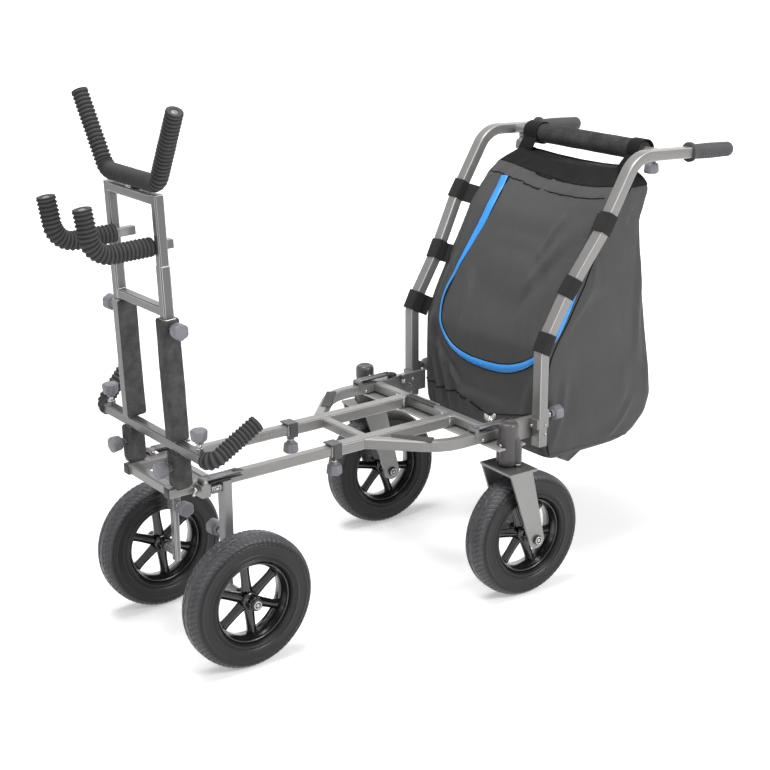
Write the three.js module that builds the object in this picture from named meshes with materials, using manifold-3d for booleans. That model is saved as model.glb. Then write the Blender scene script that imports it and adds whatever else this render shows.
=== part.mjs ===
// Four-wheeled fishing trolley with a rod rest at the front and a zipped bag between its push handles.
// Millimetres. X runs from the front axle to the push grips, Y to the trolley's right, Z up from the floor.
// The origin is on the floor, halfway along the whole trolley.
import * as THREE from "three";
import { mergeVertices } from "three/addons/utils/BufferGeometryUtils.js";
import Module from "manifold-3d";

const wasm = await Module();
wasm.setup();

// Clearances and shared small sizes
const seatGap = 0.3; // left between two pieces that touch
const slideGap = 0.3; // each side of a tube that slides in another
const overrun = 1; // how far a cutting or joining shape reaches past a face
const weldTolerance = 0.001; // vertices nearer than this are one vertex
const tubeCorner = 2.5; // chamfered corner of a square tube
const sides = { left: -1, right: 1 };

// Wheels
const wheel = {
  radius: 130,
  width: 58,
  beadRadius: 78,
  rimInnerRadius: 69,
  rimHalfWidth: 20,
  hubRadius: 17,
  hubNoseRadius: 13,
  hubHalfWidth: 28.4,
  hubNoseLength: 6,
  spokeThickness: 13,
  spokeHubWidth: 13,
  spokeRimWidth: 9,
};
const wheelFacets = 28;
const hubFacets = 12;
const pinFacets = 10;
const housingFacets = 16;
const spokeCount = 6;
const spokeTurn = { front_left: -5, front_right: -6, caster_left: -20, caster_right: -18 }; // degrees
// Tyre section: share of the height above the bead, share of the width
const tyreSectionShares = [
  [0, 0.34],
  [0.12, 0.46],
  [0.5, 0.5],
  [0.86, 0.43],
  [1, 0.2],
];

// Axle bolts
const axle = {
  radius: 6,
  clearance: 0.3,
  collarRadius: 9,
  nutRadius: 8,
  nutLength: 6,
};

// Front frame: two rails, a front crossbeam and a tie, with a leg socket outside each rail
const frontRail = { width: 20, height: 20, wall: 2, capLength: 3, frontX: -108, rearX: 325, centreY: 76, topZ: 347 };
const crossbeam = { frontX: -105, depth: 20 };
const tie = { frontX: -29, depth: 18 };
const legSocket = { sizeX: 18.6, sizeY: 24.6, wallX: 2.8, wallY: 2.8, bottomZ: 222, topDrop: 2, lid: 3 };
const leg = { topZ: 308, belowAxle: 16, weldDepth: 0.6 };
const frontTrackY = 164; // wheel centre to the trolley's centre plane

// Rear frame: larger rails that the front rails slide into
const rearRail = { size: 24, frontX: 246, rearX: 551 };
const cornerMember = { frontX: 327, depth: 20 };
const rearMember = { frontX: 550, depth: 20 };
const lidStrip = { fromY: -20, toY: 66, width: 14, thickness: 3 };

// Outer members: flare out from the corner, then run beside the rails to the handle brackets
const outerMember = { width: 20, height: 22, centreY: 194, cornerX: 438, bendRadius: 96, weldRun: 4 };
const flareAngle = THREE.MathUtils.degToRad(46.3);
const bracket = { rearX: 690, innerY: 184, bottomZ: 308, topZ: 350 };
const bracketEar = { thickness: 4, bottomZ: 330, topZ: 368, reach: 23 };

// Caster beam and swivel housings
const casterBeam = { depth: 70, thickness: 4, endReach: 12 }; // endReach: past the swivel axis
const caster = { pivotX: 563.5, pivotY: 238, trail: 39 };
const housing = { radius: 20, boreRadius: 10.4, topZ: 373, boreTopZ: 345, capRound: 7 };
const stem = { radius: 10, topZ: 340 };
const fork = {
  plateTopZ: 282,
  plateThickness: 5,
  plateAhead: 32,
  plateBehind: 36,
  halfWidth: 48,
  armThickness: 5,
  armAhead: 30,
  armBehind: 24,
  armEndRadius: 19,
};
const casterTurn = { left: THREE.MathUtils.degToRad(-2.3), right: THREE.MathUtils.degToRad(-4) };

// Rail clamps at the mouths of the rear rails
const railClamp = { frontX: 250, length: 18, wall: 2.4, lipReach: 6, lipThickness: 3, floor: 3 };

// Toggle latches: a flat lever on a knuckle between two lugs
const latch = {
  width: 17,
  thickness: 3,
  knuckleRadius: 4.2,
  pinRadius: 2,
  pinClearance: 0.3,
  lugThickness: 2.5,
  lugRadius: 4.6,
  lift: 5.2,
  lugFoot: 8,
};
const frontLatch = { hingeX: -46, length: 78, centreY: 98 };
const rearLatch = { hingeX: 512, length: 90, centreY: 194 };
const latchBlock = { rearX: -36, bottomDrop: 24, barrelRadius: 7.5, barrelDrop: 14 };

// Rod rest: everything that stands on the front frame leans forward a little
const lean = THREE.MathUtils.degToRad(2.13);
const restFoot = { x: -82.5, z: 343.7 };
const post = { size: 25, centreY: 85.8, footZ: 4.3, topZ: 320 };
const spigot = { topZ: 66, plateTopZ: 4, plateDepth: 29, plateHalfWidth: 16 };
const buttBar = { depth: 20, bottomZ: 73, height: 20, halfLength: 182 };
const restTube = { lower: 20, upper: 18, bottomZ: 104, stepZ: 413, topZ: 536.5 };
const restBar = { bottomZ: 322, height: 18, depth: 18 };

// Foam covers
const sleeve = { thickness: 4, corner: 6, boreClearance: 0.3, seamWidth: 1.2, endGap: 3 };
const openSleeveBareY = -13; // the right-hand cover leaves the front of the post bare beyond this
const openSleeveSlack = 8; // it has pulled away behind the post
const rib = { pitch: 10.6, depth: 1.9 };
const ribFacets = 8;
const cradle = { radius: 15, halfBottom: 92, armTopY: 170, armTopZ: 685, bendRadius: 34, standOff: 3, mountHalf: 9 };
const rodHorn = {
  radius: 16.5,
  stub: 16,
  stubRearX: 30,
  foamRearX: -10,
  axisZ: 445,
  cornerX: -121,
  tipX: -131,
  tipZ: 530,
  bendRadius: 40,
};
const buttHorn = { radius: 15.5, rodRadius: 8, rodClearance: 0.3, rodDepth: 40, cornerReach: 20.5, bendRadius: 20, armLength: 108 };
const buttHornRise = { left: THREE.MathUtils.degToRad(28), right: THREE.MathUtils.degToRad(48) };

// Push handles
const handle = {
  depth: 22,
  width: 25,
  footZ: 291,
  footX: 672,
  lowerY: 209.5,
  upperY: 227.5,
  bendZ: 494,
  jogStartZ: 604,
  jogEndZ: 718,
  topZ: 857,
  levelRun: 152.55,
  endDrop: 7,
  bendRadius: 62,
};
const handleRake = THREE.MathUtils.degToRad(58.5);
const handleBar = { radius: 10, endInset: 73, padRadius: 21, padHalfLength: 178, padClearance: 0.3 };
const grip = { radius: 16, flangeRadius: 20.5, flangeLength: 8, length: 124, spigotRadius: 9, spigotLength: 70 };
const gripShares = { waist: 0.94, waistAt: 0.5, end: 0.8, endRound: 0.33 }; // of its radius, and of its length

// Bag
const bag = { bottomZ: 227, topGap: 10.35, frontGap: 14, sideGap: 6, depth: 319, ringPoints: 16, cornerRadius: 15 };
const bagCornerShare = 0.8; // the most that a corner takes of the bag's half depth
// Bag levels: shares of its height, of its depth at the front and the back, and of half its width
const bagLevelShares = [
  [0, 0.229, 0.542, 0.812],
  [0.0084, 0.129, 0.683, 0.932],
  [0.0387, 0.035, 0.831, 0.979],
  [0.1025, 0.006, 0.959, 0.995],
  [0.1731, 0, 1, 1],
  [0.4151, 0.009, 0.918, 1],
  [0.4672, 0.047, 0.903, 1],
  [0.6202, 0.179, 0.862, 0.995],
  [0.8185, 0.367, 0.824, 0.99],
  [0.9227, 0.53, 0.893, 0.984],
  [0.958, 0.611, 0.875, 0.958],
  [1, 0.693, 0.831, 0.785],
];
const strap = { thickness: 2, width: 42, slack: 0.6, inset: 16 };
const strapHeightShares = [0.4655, 0.642, 0.847]; // of the bag's height
const strapMarks = 60; // places tried along each step of the handle when a strap is set at its height
const loop = { width: 30, centreY: 150, thickness: 2.5 };

// Clamping knobs
const knob = { radius: 15.5, length: 26, studRadius: 4, studClearance: 0.5, bossRadius: 8, bossHeight: 5.5, standOff: 7 };
const knobLobes = 6;
const legKnob = { aboveSocket: 14, standOff: 15 };
const handleKnob = { aboveBracket: 3, standOff: 14 };
const railKnob = { standOff: 9.5 };
const postKnob = { belowTop: 16 };
const footKnob = { z: 45, standOff: 10.5 };
const buttKnob = { endInset: 17, standOff: 17 };
// Knob profile: share of the length from the stud end, share of the radius
const knobProfileShares = [
  [0, 0.48],
  [0.22, 0.84],
  [0.85, 1],
  [1, 0.86],
];
const lobeDepthShare = 0.08;

// Materials
const paint = (color, roughness, metalness) => new THREE.MeshStandardMaterial({ color, roughness, metalness });
const pewter = paint(0x8b8887, 0.38, 0.75);
const plate = paint(0xa09c9a, 0.42, 0.7);
const darkMetal = paint(0x4b4b4d, 0.5, 0.4);
const capPlastic = paint(0x4d494a, 0.5, 0);
const knobPlastic = paint(0x7d7d83, 0.5, 0);
const foam = paint(0x3c3c3d, 0.95, 0);
const tyreRubber = paint(0x3a3a3b, 0.85, 0);
const rimPlastic = paint(0x0c0c0d, 0.2, 0);
const gripRubber = paint(0x414142, 0.8, 0);
const bagCloth = paint(0x4d4d4e, 0.9, 0);

// Solids: three.js shapes joined and cut
function toSolid(geometry) {
  const flat = geometry.index ? geometry.toNonIndexed() : geometry;
  const positions = new THREE.BufferGeometry().setAttribute("position", flat.getAttribute("position"));
  const merged = mergeVertices(positions, weldTolerance);
  return new wasm.Manifold(
    new wasm.Mesh({
      numProp: 3,
      vertProperties: merged.attributes.position.array,
      triVerts: new Uint32Array(merged.index.array),
    }),
  );
}

function toGeometry(manifold) {
  const { vertProperties, triVerts } = manifold.getMesh();
  const geometry = new THREE.BufferGeometry();
  geometry.setAttribute("position", new THREE.BufferAttribute(vertProperties, 3));
  geometry.setIndex(new THREE.BufferAttribute(triVerts, 1));
  geometry.computeVertexNormals();
  return geometry;
}

function join(...pieces) {
  return toGeometry(pieces.map(toSolid).reduce((whole, piece) => whole.add(piece)));
}

function cut(geometry, ...tools) {
  return toGeometry(tools.map(toSolid).reduce((whole, tool) => whole.subtract(tool), toSolid(geometry)));
}

function common(geometry, other) {
  return toGeometry(toSolid(geometry).intersect(toSolid(other)));
}

// A box between two corners
function block(x0, x1, y0, y1, z0, z1) {
  const size = new THREE.Vector3(Math.abs(x1 - x0), Math.abs(y1 - y0), Math.abs(z1 - z0));
  return new THREE.BoxGeometry(size.x, size.y, size.z).translate((x0 + x1) / 2, (y0 + y1) / 2, (z0 + z1) / 2);
}

// A rectangle with chamfered corners
function sectionPoints(width, height, corner) {
  const [a, b] = [width / 2, height / 2];
  return [
    [a, b - corner],
    [a - corner, b],
    [corner - a, b],
    [-a, b - corner],
    [-a, corner - b],
    [corner - a, -b],
    [a - corner, -b],
    [a, corner - b],
  ].map(([x, y]) => new THREE.Vector2(x, y));
}

function tubeSection(width, height, corner, wall = 0) {
  const shape = new THREE.Shape(sectionPoints(width, height, corner));
  if (wall) shape.holes.push(new THREE.Path(sectionPoints(width - 2 * wall, height - 2 * wall, corner / 2)));
  return shape;
}

// A straight tube along one axis; centre and size name the two other axes
const crossAxes = { x: ["y", "z"], y: ["z", "x"], z: ["x", "y"] };
function tube(axis, start, end, centre, size, { corner = tubeCorner, wall = 0 } = {}) {
  const [a, b] = crossAxes[axis];
  const section = tubeSection(size[a], size[b], corner, wall);
  const geometry = new THREE.ExtrudeGeometry(section, { depth: end - start, bevelEnabled: false });
  const unit = (name) => new THREE.Vector3(Number(name === "x"), Number(name === "y"), Number(name === "z"));
  const origin = unit(axis).multiplyScalar(start);
  origin[a] = centre[a];
  origin[b] = centre[b];
  const place = new THREE.Matrix4().makeBasis(unit(a), unit(b), unit(axis)).setPosition(origin);
  return geometry.applyMatrix4(place);
}

// A round bar along one axis
const axisTurns = {
  x: (geometry) => geometry.rotateZ(-Math.PI / 2),
  y: (geometry) => geometry,
  z: (geometry) => geometry.rotateX(Math.PI / 2),
};
function rod(axis, start, end, centre, radius, facets = pinFacets) {
  const geometry = axisTurns[axis](new THREE.CylinderGeometry(radius, radius, end - start, facets));
  const middle = new THREE.Vector3(centre.x ?? 0, centre.y ?? 0, centre.z ?? 0);
  middle[axis] = (start + end) / 2;
  return geometry.translate(middle.x, middle.y, middle.z);
}

// Corner radius of a faceted bore whose flats lie at the given radius
function clearOf(radius, facets) {
  return radius / Math.cos(Math.PI / facets);
}

// A closed skin over a stack of rings that have the same number of points
function loft(rings) {
  const count = rings[0].length;
  const points = rings.flat();
  const faces = [];
  for (let level = 0; level + 1 < rings.length; level += 1) {
    for (let i = 0; i < count; i += 1) {
      const [a, b] = [level * count + i, level * count + ((i + 1) % count)];
      faces.push([a, b, b + count], [a, b + count, a + count]);
    }
  }
  const last = (rings.length - 1) * count;
  for (let i = 1; i + 1 < count; i += 1) {
    faces.push([0, i + 1, i], [last, last + i, last + i + 1]);
  }
  const volume = faces.reduce((sum, [a, b, c]) => sum + points[a].dot(points[b].clone().cross(points[c])), 0);
  const outward = volume < 0 ? faces.map(([a, b, c]) => [a, c, b]) : faces;
  const geometry = new THREE.BufferGeometry().setFromPoints(points);
  geometry.setIndex(outward.flat());
  geometry.computeVertexNormals();
  return geometry;
}

// A path of straight stretches with round bends, whose steps fall on its corners
const bendStep = THREE.MathUtils.degToRad(15.6);
class BentPath extends THREE.Curve {
  constructor(corners, radius) {
    super();
    this.stops = [corners[0].clone()];
    for (let i = 1; i + 1 < corners.length; i += 1) {
      const before = corners[i - 1].clone().sub(corners[i]).normalize();
      const after = corners[i + 1].clone().sub(corners[i]).normalize();
      const turn = Math.PI - before.angleTo(after);
      const bisector = before.clone().add(after).normalize();
      const centre = corners[i].clone().addScaledVector(bisector, radius / Math.cos(turn / 2));
      const start = corners[i].clone().addScaledVector(before, radius * Math.tan(turn / 2)).sub(centre);
      const axisOfBend = before.clone().cross(after).normalize().negate();
      const bendSteps = Math.max(2, Math.ceil(turn / bendStep));
      for (let step = 0; step <= bendSteps; step += 1) {
        const spoke = start.clone().applyAxisAngle(axisOfBend, (turn * step) / bendSteps);
        this.stops.push(centre.clone().add(spoke));
      }
    }
    this.stops.push(corners.at(-1).clone());
    this.runs = this.stops.map((stop, i) => (i ? stop.distanceTo(this.stops[i - 1]) : 0));
    this.marks = this.runs.map((_, i) => this.runs.slice(0, i + 1).reduce((sum, run) => sum + run, 0));
    this.headings = this.stops.map((_, i) => {
      const ahead = this.stops[Math.min(i + 1, this.stops.length - 1)];
      const behind = this.stops[Math.max(i - 1, 0)];
      return ahead.clone().sub(behind).normalize();
    });
  }
  get steps() {
    return this.stops.length - 1;
  }
  get reach() {
    return this.marks.at(-1);
  }
  blend(list, t) {
    const place = Math.min(Math.max(t, 0), 1) * this.steps;
    const i = Math.min(Math.floor(place), this.steps - 1);
    return list[i].clone().lerp(list[i + 1], place - i);
  }
  getPoint(t) {
    return this.blend(this.stops, t);
  }
  getPointAt(t) {
    return this.blend(this.stops, t);
  }
  getTangent(t) {
    return this.blend(this.headings, t).normalize();
  }
  getTangentAt(t) {
    return this.getTangent(t);
  }
  // Share of the steps at a distance along the path
  shareAt(distance) {
    const next = Math.max(1, this.marks.findIndex((mark) => mark >= distance));
    const within = (distance - this.marks[next - 1]) / this.runs[next];
    return (next - 1 + within) / this.steps;
  }
}

function bentTube(path, section) {
  return new THREE.ExtrudeGeometry(section, { steps: path.steps, extrudePath: path, bevelEnabled: false });
}

// Ribbed foam over a bent rod: a groove ring and a crest ring for each rib, on a path that lies in one plane
function ribbedFoam(path, radius, planeNormal) {
  const ribs = Math.max(2, Math.round(path.reach / rib.pitch));
  const rings = [];
  for (let step = 0; step <= 2 * ribs; step += 1) {
    const share = path.shareAt((path.reach * step) / (2 * ribs));
    const centre = path.getPoint(share);
    const across = path.getTangent(share).cross(planeNormal).normalize();
    const size = step % 2 ? radius : radius - rib.depth;
    const ring = Array.from({ length: ribFacets }, (_, i) => {
      const angle = (2 * Math.PI * (i + 0.5)) / ribFacets;
      return centre
        .clone()
        .addScaledVector(planeNormal, size * Math.cos(angle))
        .addScaledVector(across, size * Math.sin(angle));
    });
    rings.push(ring);
  }
  return loft(rings);
}

// Assembly groups
const trolley = new THREE.Group();
const assembly = new THREE.Group();
const rodRest = new THREE.Group();
rodRest.position.set(restFoot.x, 0, restFoot.z);
rodRest.rotation.y = -lean;
assembly.add(rodRest);
trolley.add(assembly);

function addPiece(name, geometry, material, parent = assembly) {
  const piece = new THREE.Mesh(geometry, material);
  piece.name = name;
  parent.add(piece);
  return piece;
}

// Carries a shape from the leaning rod rest into the frame below it
function leaning(geometry) {
  return geometry.rotateY(-lean).translate(restFoot.x, 0, restFoot.z);
}

// Knobs screw into a boss on the tube that they clamp
function seatMatrix(seat) {
  const turn = new THREE.Quaternion().setFromUnitVectors(new THREE.Vector3(0, 0, 1), seat.direction);
  return new THREE.Matrix4().compose(seat.point, turn, new THREE.Vector3(1, 1, 1));
}

function bossOn(seat, height = knob.bossHeight) {
  return rod("z", -overrun, height, {}, knob.bossRadius).applyMatrix4(seatMatrix(seat));
}

function bossBore(seat, height = knob.bossHeight) {
  const radius = knob.studRadius + knob.studClearance;
  return rod("z", 0, height + overrun, {}, radius).applyMatrix4(seatMatrix(seat));
}

function knobSolid(standOff = knob.standOff) {
  const points = 2 * knobLobes;
  const rings = knobProfileShares.map(([along, share]) =>
    Array.from({ length: points }, (_, i) => {
      const angle = (2 * Math.PI * i) / points;
      const radius = knob.radius * share * (i % 2 ? 1 - lobeDepthShare : 1);
      return new THREE.Vector3(radius * Math.cos(angle), radius * Math.sin(angle), standOff + along * knob.length);
    }),
  );
  return join(loft(rings), rod("z", seatGap, standOff + overrun, {}, knob.studRadius, ribFacets));
}

function addKnob(name, seat, parent = assembly, standOff = knob.standOff) {
  const piece = addPiece(name, knobSolid(standOff), knobPlastic, parent);
  piece.position.copy(seat.point);
  piece.quaternion.setFromUnitVectors(new THREE.Vector3(0, 0, 1), seat.direction);
}

const seatAt = (x, y, z, direction) => ({ point: new THREE.Vector3(x, y, z), direction });
const up = new THREE.Vector3(0, 0, 1);
const down = new THREE.Vector3(0, 0, -1);
const ahead = new THREE.Vector3(-1, 0, 0);
const behind = new THREE.Vector3(1, 0, 0);
const outwardOn = (side) => new THREE.Vector3(0, side, 0);
const inwardOn = (side) => new THREE.Vector3(0, -side, 0);

// Derived heights and places
const railMidZ = frontRail.topZ - frontRail.height / 2;
const rearRailTop = railMidZ + rearRail.size / 2;
const rearRailBottom = railMidZ - rearRail.size / 2;
const railOuterY = frontRail.centreY + frontRail.width / 2;
const rearRailOuterY = frontRail.centreY + rearRail.size / 2;
const rearRailInnerY = frontRail.centreY - rearRail.size / 2;
const legCentreY = railOuterY - leg.weldDepth + legSocket.sizeY / 2;
const rearMemberHalf = outerMember.centreY - outerMember.width / 2 - seatGap;
const beamHalfLength = caster.pivotY + casterBeam.endReach;

// Wheels: the tyre stands on a flat facet, so facet corners lie a little outside the radius
const facetReach = 1 / Math.cos(Math.PI / wheelFacets);
const wheelPhase = Math.PI / wheelFacets;

function ringSolid(profile, facets, phase = 0) {
  const points = profile.map(([radius, along]) => new THREE.Vector2(radius, along));
  return new THREE.LatheGeometry([...points, points[0]], facets, phase);
}

function tyreSolid() {
  const height = wheel.radius - wheel.beadRadius;
  const half = tyreSectionShares.map(([rise, share]) => [
    (wheel.beadRadius + rise * height) * facetReach,
    share * wheel.width,
  ]);
  const mirrored = half.map(([radius, along]) => [radius, -along]);
  return ringSolid([...mirrored, ...half.toReversed()], wheelFacets, wheelPhase);
}

function spokeSolid(angle) {
  const root = wheel.hubRadius - overrun;
  const tip = wheel.rimInnerRadius + overrun;
  const outline = new THREE.Shape([
    new THREE.Vector2(-wheel.spokeHubWidth / 2, root),
    new THREE.Vector2(wheel.spokeHubWidth / 2, root),
    new THREE.Vector2(wheel.spokeRimWidth / 2, tip),
    new THREE.Vector2(-wheel.spokeRimWidth / 2, tip),
  ]);
  const spoke = new THREE.ExtrudeGeometry(outline, { depth: wheel.spokeThickness, bevelEnabled: false });
  return spoke.translate(0, 0, -wheel.spokeThickness / 2).rotateZ(angle).rotateX(Math.PI / 2);
}

function rimSolid(turn) {
  const outer = (wheel.beadRadius - seatGap) * facetReach;
  const inner = wheel.rimInnerRadius * facetReach;
  const ring = ringSolid(
    [
      [inner, -wheel.rimHalfWidth + tubeCorner],
      [outer, -wheel.rimHalfWidth],
      [outer, wheel.rimHalfWidth],
      [inner, wheel.rimHalfWidth - tubeCorner],
    ],
    wheelFacets,
    wheelPhase,
  );
  const bore = clearOf(axle.radius + axle.clearance, hubFacets);
  const shoulder = wheel.hubHalfWidth - wheel.hubNoseLength;
  const hub = ringSolid(
    [
      [bore, -wheel.hubHalfWidth],
      [wheel.hubNoseRadius, -wheel.hubHalfWidth],
      [wheel.hubRadius, -shoulder],
      [wheel.hubRadius, shoulder],
      [wheel.hubNoseRadius, wheel.hubHalfWidth],
      [bore, wheel.hubHalfWidth],
    ],
    hubFacets,
  );
  const spokes = Array.from({ length: spokeCount }, (_, i) => {
    const angle = (2 * Math.PI * i) / spokeCount + THREE.MathUtils.degToRad(turn);
    return spokeSolid(angle);
  });
  return join(ring, hub, ...spokes);
}

function addWheel(prefix, sideName, x, y, turn = 0) {
  const parts = [
    [`${prefix}_tyre_${sideName}`, tyreSolid(), tyreRubber],
    [`${prefix}_rim_${sideName}`, rimSolid(spokeTurn[`${prefix}_${sideName}`]), rimPlastic],
  ];
  for (const [name, geometry, material] of parts) {
    const piece = addPiece(name, geometry, material);
    piece.position.set(x, y, wheel.radius);
    piece.rotation.z = turn;
  }
}

// Front legs: a square leg that slides in its socket, with the wheel's axle through its foot
const innerHubY = frontTrackY - wheel.hubHalfWidth;
const outerHubY = frontTrackY + wheel.hubHalfWidth;
const legSize = {
  x: legSocket.sizeX - 2 * (legSocket.wallX + slideGap),
  y: legSocket.sizeY - 2 * (legSocket.wallY + slideGap),
};

function spanOn(side, inner, outer) {
  return side > 0 ? [inner, outer] : [-outer, -inner];
}

function frontLeg(side) {
  const shaft = tube("z", wheel.radius - leg.belowAxle, leg.topZ, { x: 0, y: side * legCentreY }, legSize);
  const centre = { x: 0, z: wheel.radius };
  const bolt = rod("y", ...spanOn(side, legCentreY, outerHubY + axle.nutLength), centre, axle.radius);
  const collar = rod("y", ...spanOn(side, legCentreY, innerHubY - seatGap), centre, axle.collarRadius);
  const nutSpan = spanOn(side, outerHubY + seatGap, outerHubY + axle.nutLength);
  const nut = rod("y", ...nutSpan, centre, axle.nutRadius, knobLobes);
  return join(shaft, bolt, collar, nut);
}

// Latch parts: lugs with a pin stay on the frame, the lever turns on the pin
function latchLugs(hingeX, centreY, hingeZ, baseZ) {
  const lugs = [-1, 1].map((end) => {
    const inner = latch.width / 2 + seatGap;
    const [y0, y1] = end > 0 ? [inner, inner + latch.lugThickness] : [-inner - latch.lugThickness, -inner];
    const eye = rod("y", centreY + y0, centreY + y1, { x: hingeX, z: hingeZ }, latch.lugRadius);
    const foot = block(
      hingeX - latch.lugRadius,
      hingeX + latch.lugRadius,
      centreY + y0,
      centreY + y1,
      baseZ - latch.lugFoot,
      hingeZ,
    );
    return [eye, foot];
  });
  const reach = latch.width / 2 + seatGap + latch.lugThickness / 2;
  const pin = rod("y", centreY - reach, centreY + reach, { x: hingeX, z: hingeZ }, latch.pinRadius, ribFacets);
  return [...lugs.flat(), pin];
}

function latchLever(length) {
  const half = latch.width / 2;
  const knuckle = rod("y", -half, half, {}, latch.knuckleRadius);
  const bottom = latch.knuckleRadius - latch.thickness;
  const lever = block(0, length, -half, half, bottom, latch.knuckleRadius);
  const finger = block(length - latch.width, length + latch.width / 2, -half / 2, half / 2, bottom, latch.knuckleRadius);
  const bore = rod("y", -half - overrun, half + overrun, {}, latch.pinRadius + latch.pinClearance, ribFacets);
  return cut(join(knuckle, lever, finger), bore);
}

const frontHingeZ = frontRail.topZ + latch.lift;
const rearHingeZ = railMidZ + outerMember.height / 2 + latch.lift;

// Front frame
const spigotFootZ = frontRail.topZ - frontRail.wall / 2 - restFoot.z; // welded into the rail's top wall
const legKnobZ = legSocket.bottomZ + legKnob.aboveSocket;
const legKnobSeat = (side) => seatAt(0, side * (legCentreY - legSocket.sizeY / 2), legKnobZ, inwardOn(side));

function legSocketPieces(side) {
  const top = frontRail.topZ - legSocket.topDrop;
  const centre = { x: 0, y: side * legCentreY };
  const size = { x: legSocket.sizeX, y: legSocket.sizeY };
  return tube("z", legSocket.bottomZ, top, centre, size);
}

function legSocketBore(side) {
  const centre = { x: 0, y: side * legCentreY };
  const size = { x: legSize.x + 2 * slideGap, y: legSize.y + 2 * slideGap };
  return tube("z", legSocket.bottomZ - overrun, frontRail.topZ - legSocket.topDrop - legSocket.lid, centre, size);
}

function frontFramePieces() {
  const railCentre = (side) => ({ y: side * frontRail.centreY, z: railMidZ });
  const railSize = { y: frontRail.width, z: frontRail.height };
  const crossSize = (depth) => ({ x: depth, z: frontRail.height });
  const crossCentre = (spec) => ({ x: spec.frontX + spec.depth / 2, z: railMidZ });
  const weldY = frontRail.centreY - frontRail.width / 2 + frontRail.wall / 2;
  const pieces = [crossbeam, tie].map((spec) => tube("y", -weldY, weldY, crossCentre(spec), crossSize(spec.depth)));
  for (const side of Object.values(sides)) {
    const centreY = side * post.centreY;
    const spigotSize = post.size - 2 * (sleeveWall + slideGap);
    pieces.push(
      tube("x", frontRail.frontX, frontRail.rearX, railCentre(side), railSize, { wall: frontRail.wall }),
      tube("x", frontRail.frontX, frontRail.frontX + frontRail.capLength, railCentre(side), railSize),
      legSocketPieces(side),
      leaning(
        block(
          -spigot.plateDepth / 2,
          spigot.plateDepth / 2,
          centreY - spigot.plateHalfWidth,
          centreY + spigot.plateHalfWidth,
          spigotFootZ,
          spigot.plateTopZ,
        ),
      ),
      leaning(tube("z", spigotFootZ, spigot.topZ, { x: 0, y: centreY }, { x: spigotSize, y: spigotSize })),
      ...latchBlockPieces(side),
      bossOn(legKnobSeat(side)),
    );
  }
  return pieces;
}

// The latch's block and its spring barrel sit outside the rail, against the leg socket
function latchBlockPieces(side) {
  const [y0, y1] = spanOn(side, railOuterY - leg.weldDepth, frontLatch.centreY + latch.width / 2 + latch.lugThickness);
  const front = frontLatch.hingeX - latch.width / 2;
  const body = block(front, latchBlock.rearX, y0, y1, frontRail.topZ - latchBlock.bottomDrop, frontRail.topZ - overrun);
  const centre = { y: side * frontLatch.centreY, z: frontRail.topZ - latchBlock.barrelDrop };
  const barrel = rod("x", latchBlock.rearX - overrun, -legSocket.sizeX / 2 + leg.weldDepth, centre, latchBlock.barrelRadius);
  const lugs = latchLugs(frontLatch.hingeX, side * frontLatch.centreY, frontHingeZ, frontRail.topZ);
  return [body, barrel, ...lugs];
}

// Wall of the post, whose bore takes the rest frame's lower tubes
const sleeveWall = (post.size - restTube.lower) / 2 - slideGap;

const frontFrame = cut(
  join(...frontFramePieces()),
  ...Object.values(sides).flatMap((side) => [legSocketBore(side), bossBore(legKnobSeat(side))]),
);
addPiece("front_frame", frontFrame, pewter);

// Rear frame
function rearFrame() {
  const wall = (rearRail.size - frontRail.width) / 2 - slideGap;
  const pieces = [];
  const size = { y: rearRail.size, z: rearRail.size };
  for (const side of Object.values(sides)) {
    const centre = { y: side * frontRail.centreY, z: railMidZ };
    pieces.push(tube("x", rearRail.frontX, rearRail.rearX, centre, size, { wall }));
  }
  const memberSize = { x: cornerMember.depth, z: frontRail.height };
  const cornerCentre = { x: cornerMember.frontX + cornerMember.depth / 2, z: railMidZ };
  const weldY = rearRailInnerY + wall / 2;
  pieces.push(tube("y", -weldY, weldY, cornerCentre, memberSize));
  const rearCentre = { x: rearMember.frontX + rearMember.depth / 2, z: railMidZ };
  const rearSize = { x: rearMember.depth, z: frontRail.height };
  pieces.push(tube("y", -rearMemberHalf, rearMemberHalf, rearCentre, rearSize));
  const stripTop = frontRail.topZ + lidStrip.thickness;
  const stripX = rearCentre.x - lidStrip.width / 2;
  pieces.push(block(stripX, stripX + lidStrip.width, lidStrip.fromY, lidStrip.toY, railMidZ, stripTop));
  return join(...pieces);
}
addPiece("rear_frame", rearFrame(), pewter);

// Outer members with the handle brackets welded to their rear ends
const handleInnerY = handle.lowerY - handle.width / 2;
const handleRearX = handle.footX + handle.depth / 2;
const earFrontX = handleRearX + seatGap;
const handleKnobZ = bracket.topZ + handleKnob.aboveBracket;
const handleKnobSeat = (side) => seatAt(earFrontX + bracketEar.thickness, side * handle.lowerY, handleKnobZ, behind);

const bracketFrontX = caster.pivotX + casterBeam.depth / 2 + overrun; // just behind the caster beam

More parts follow.
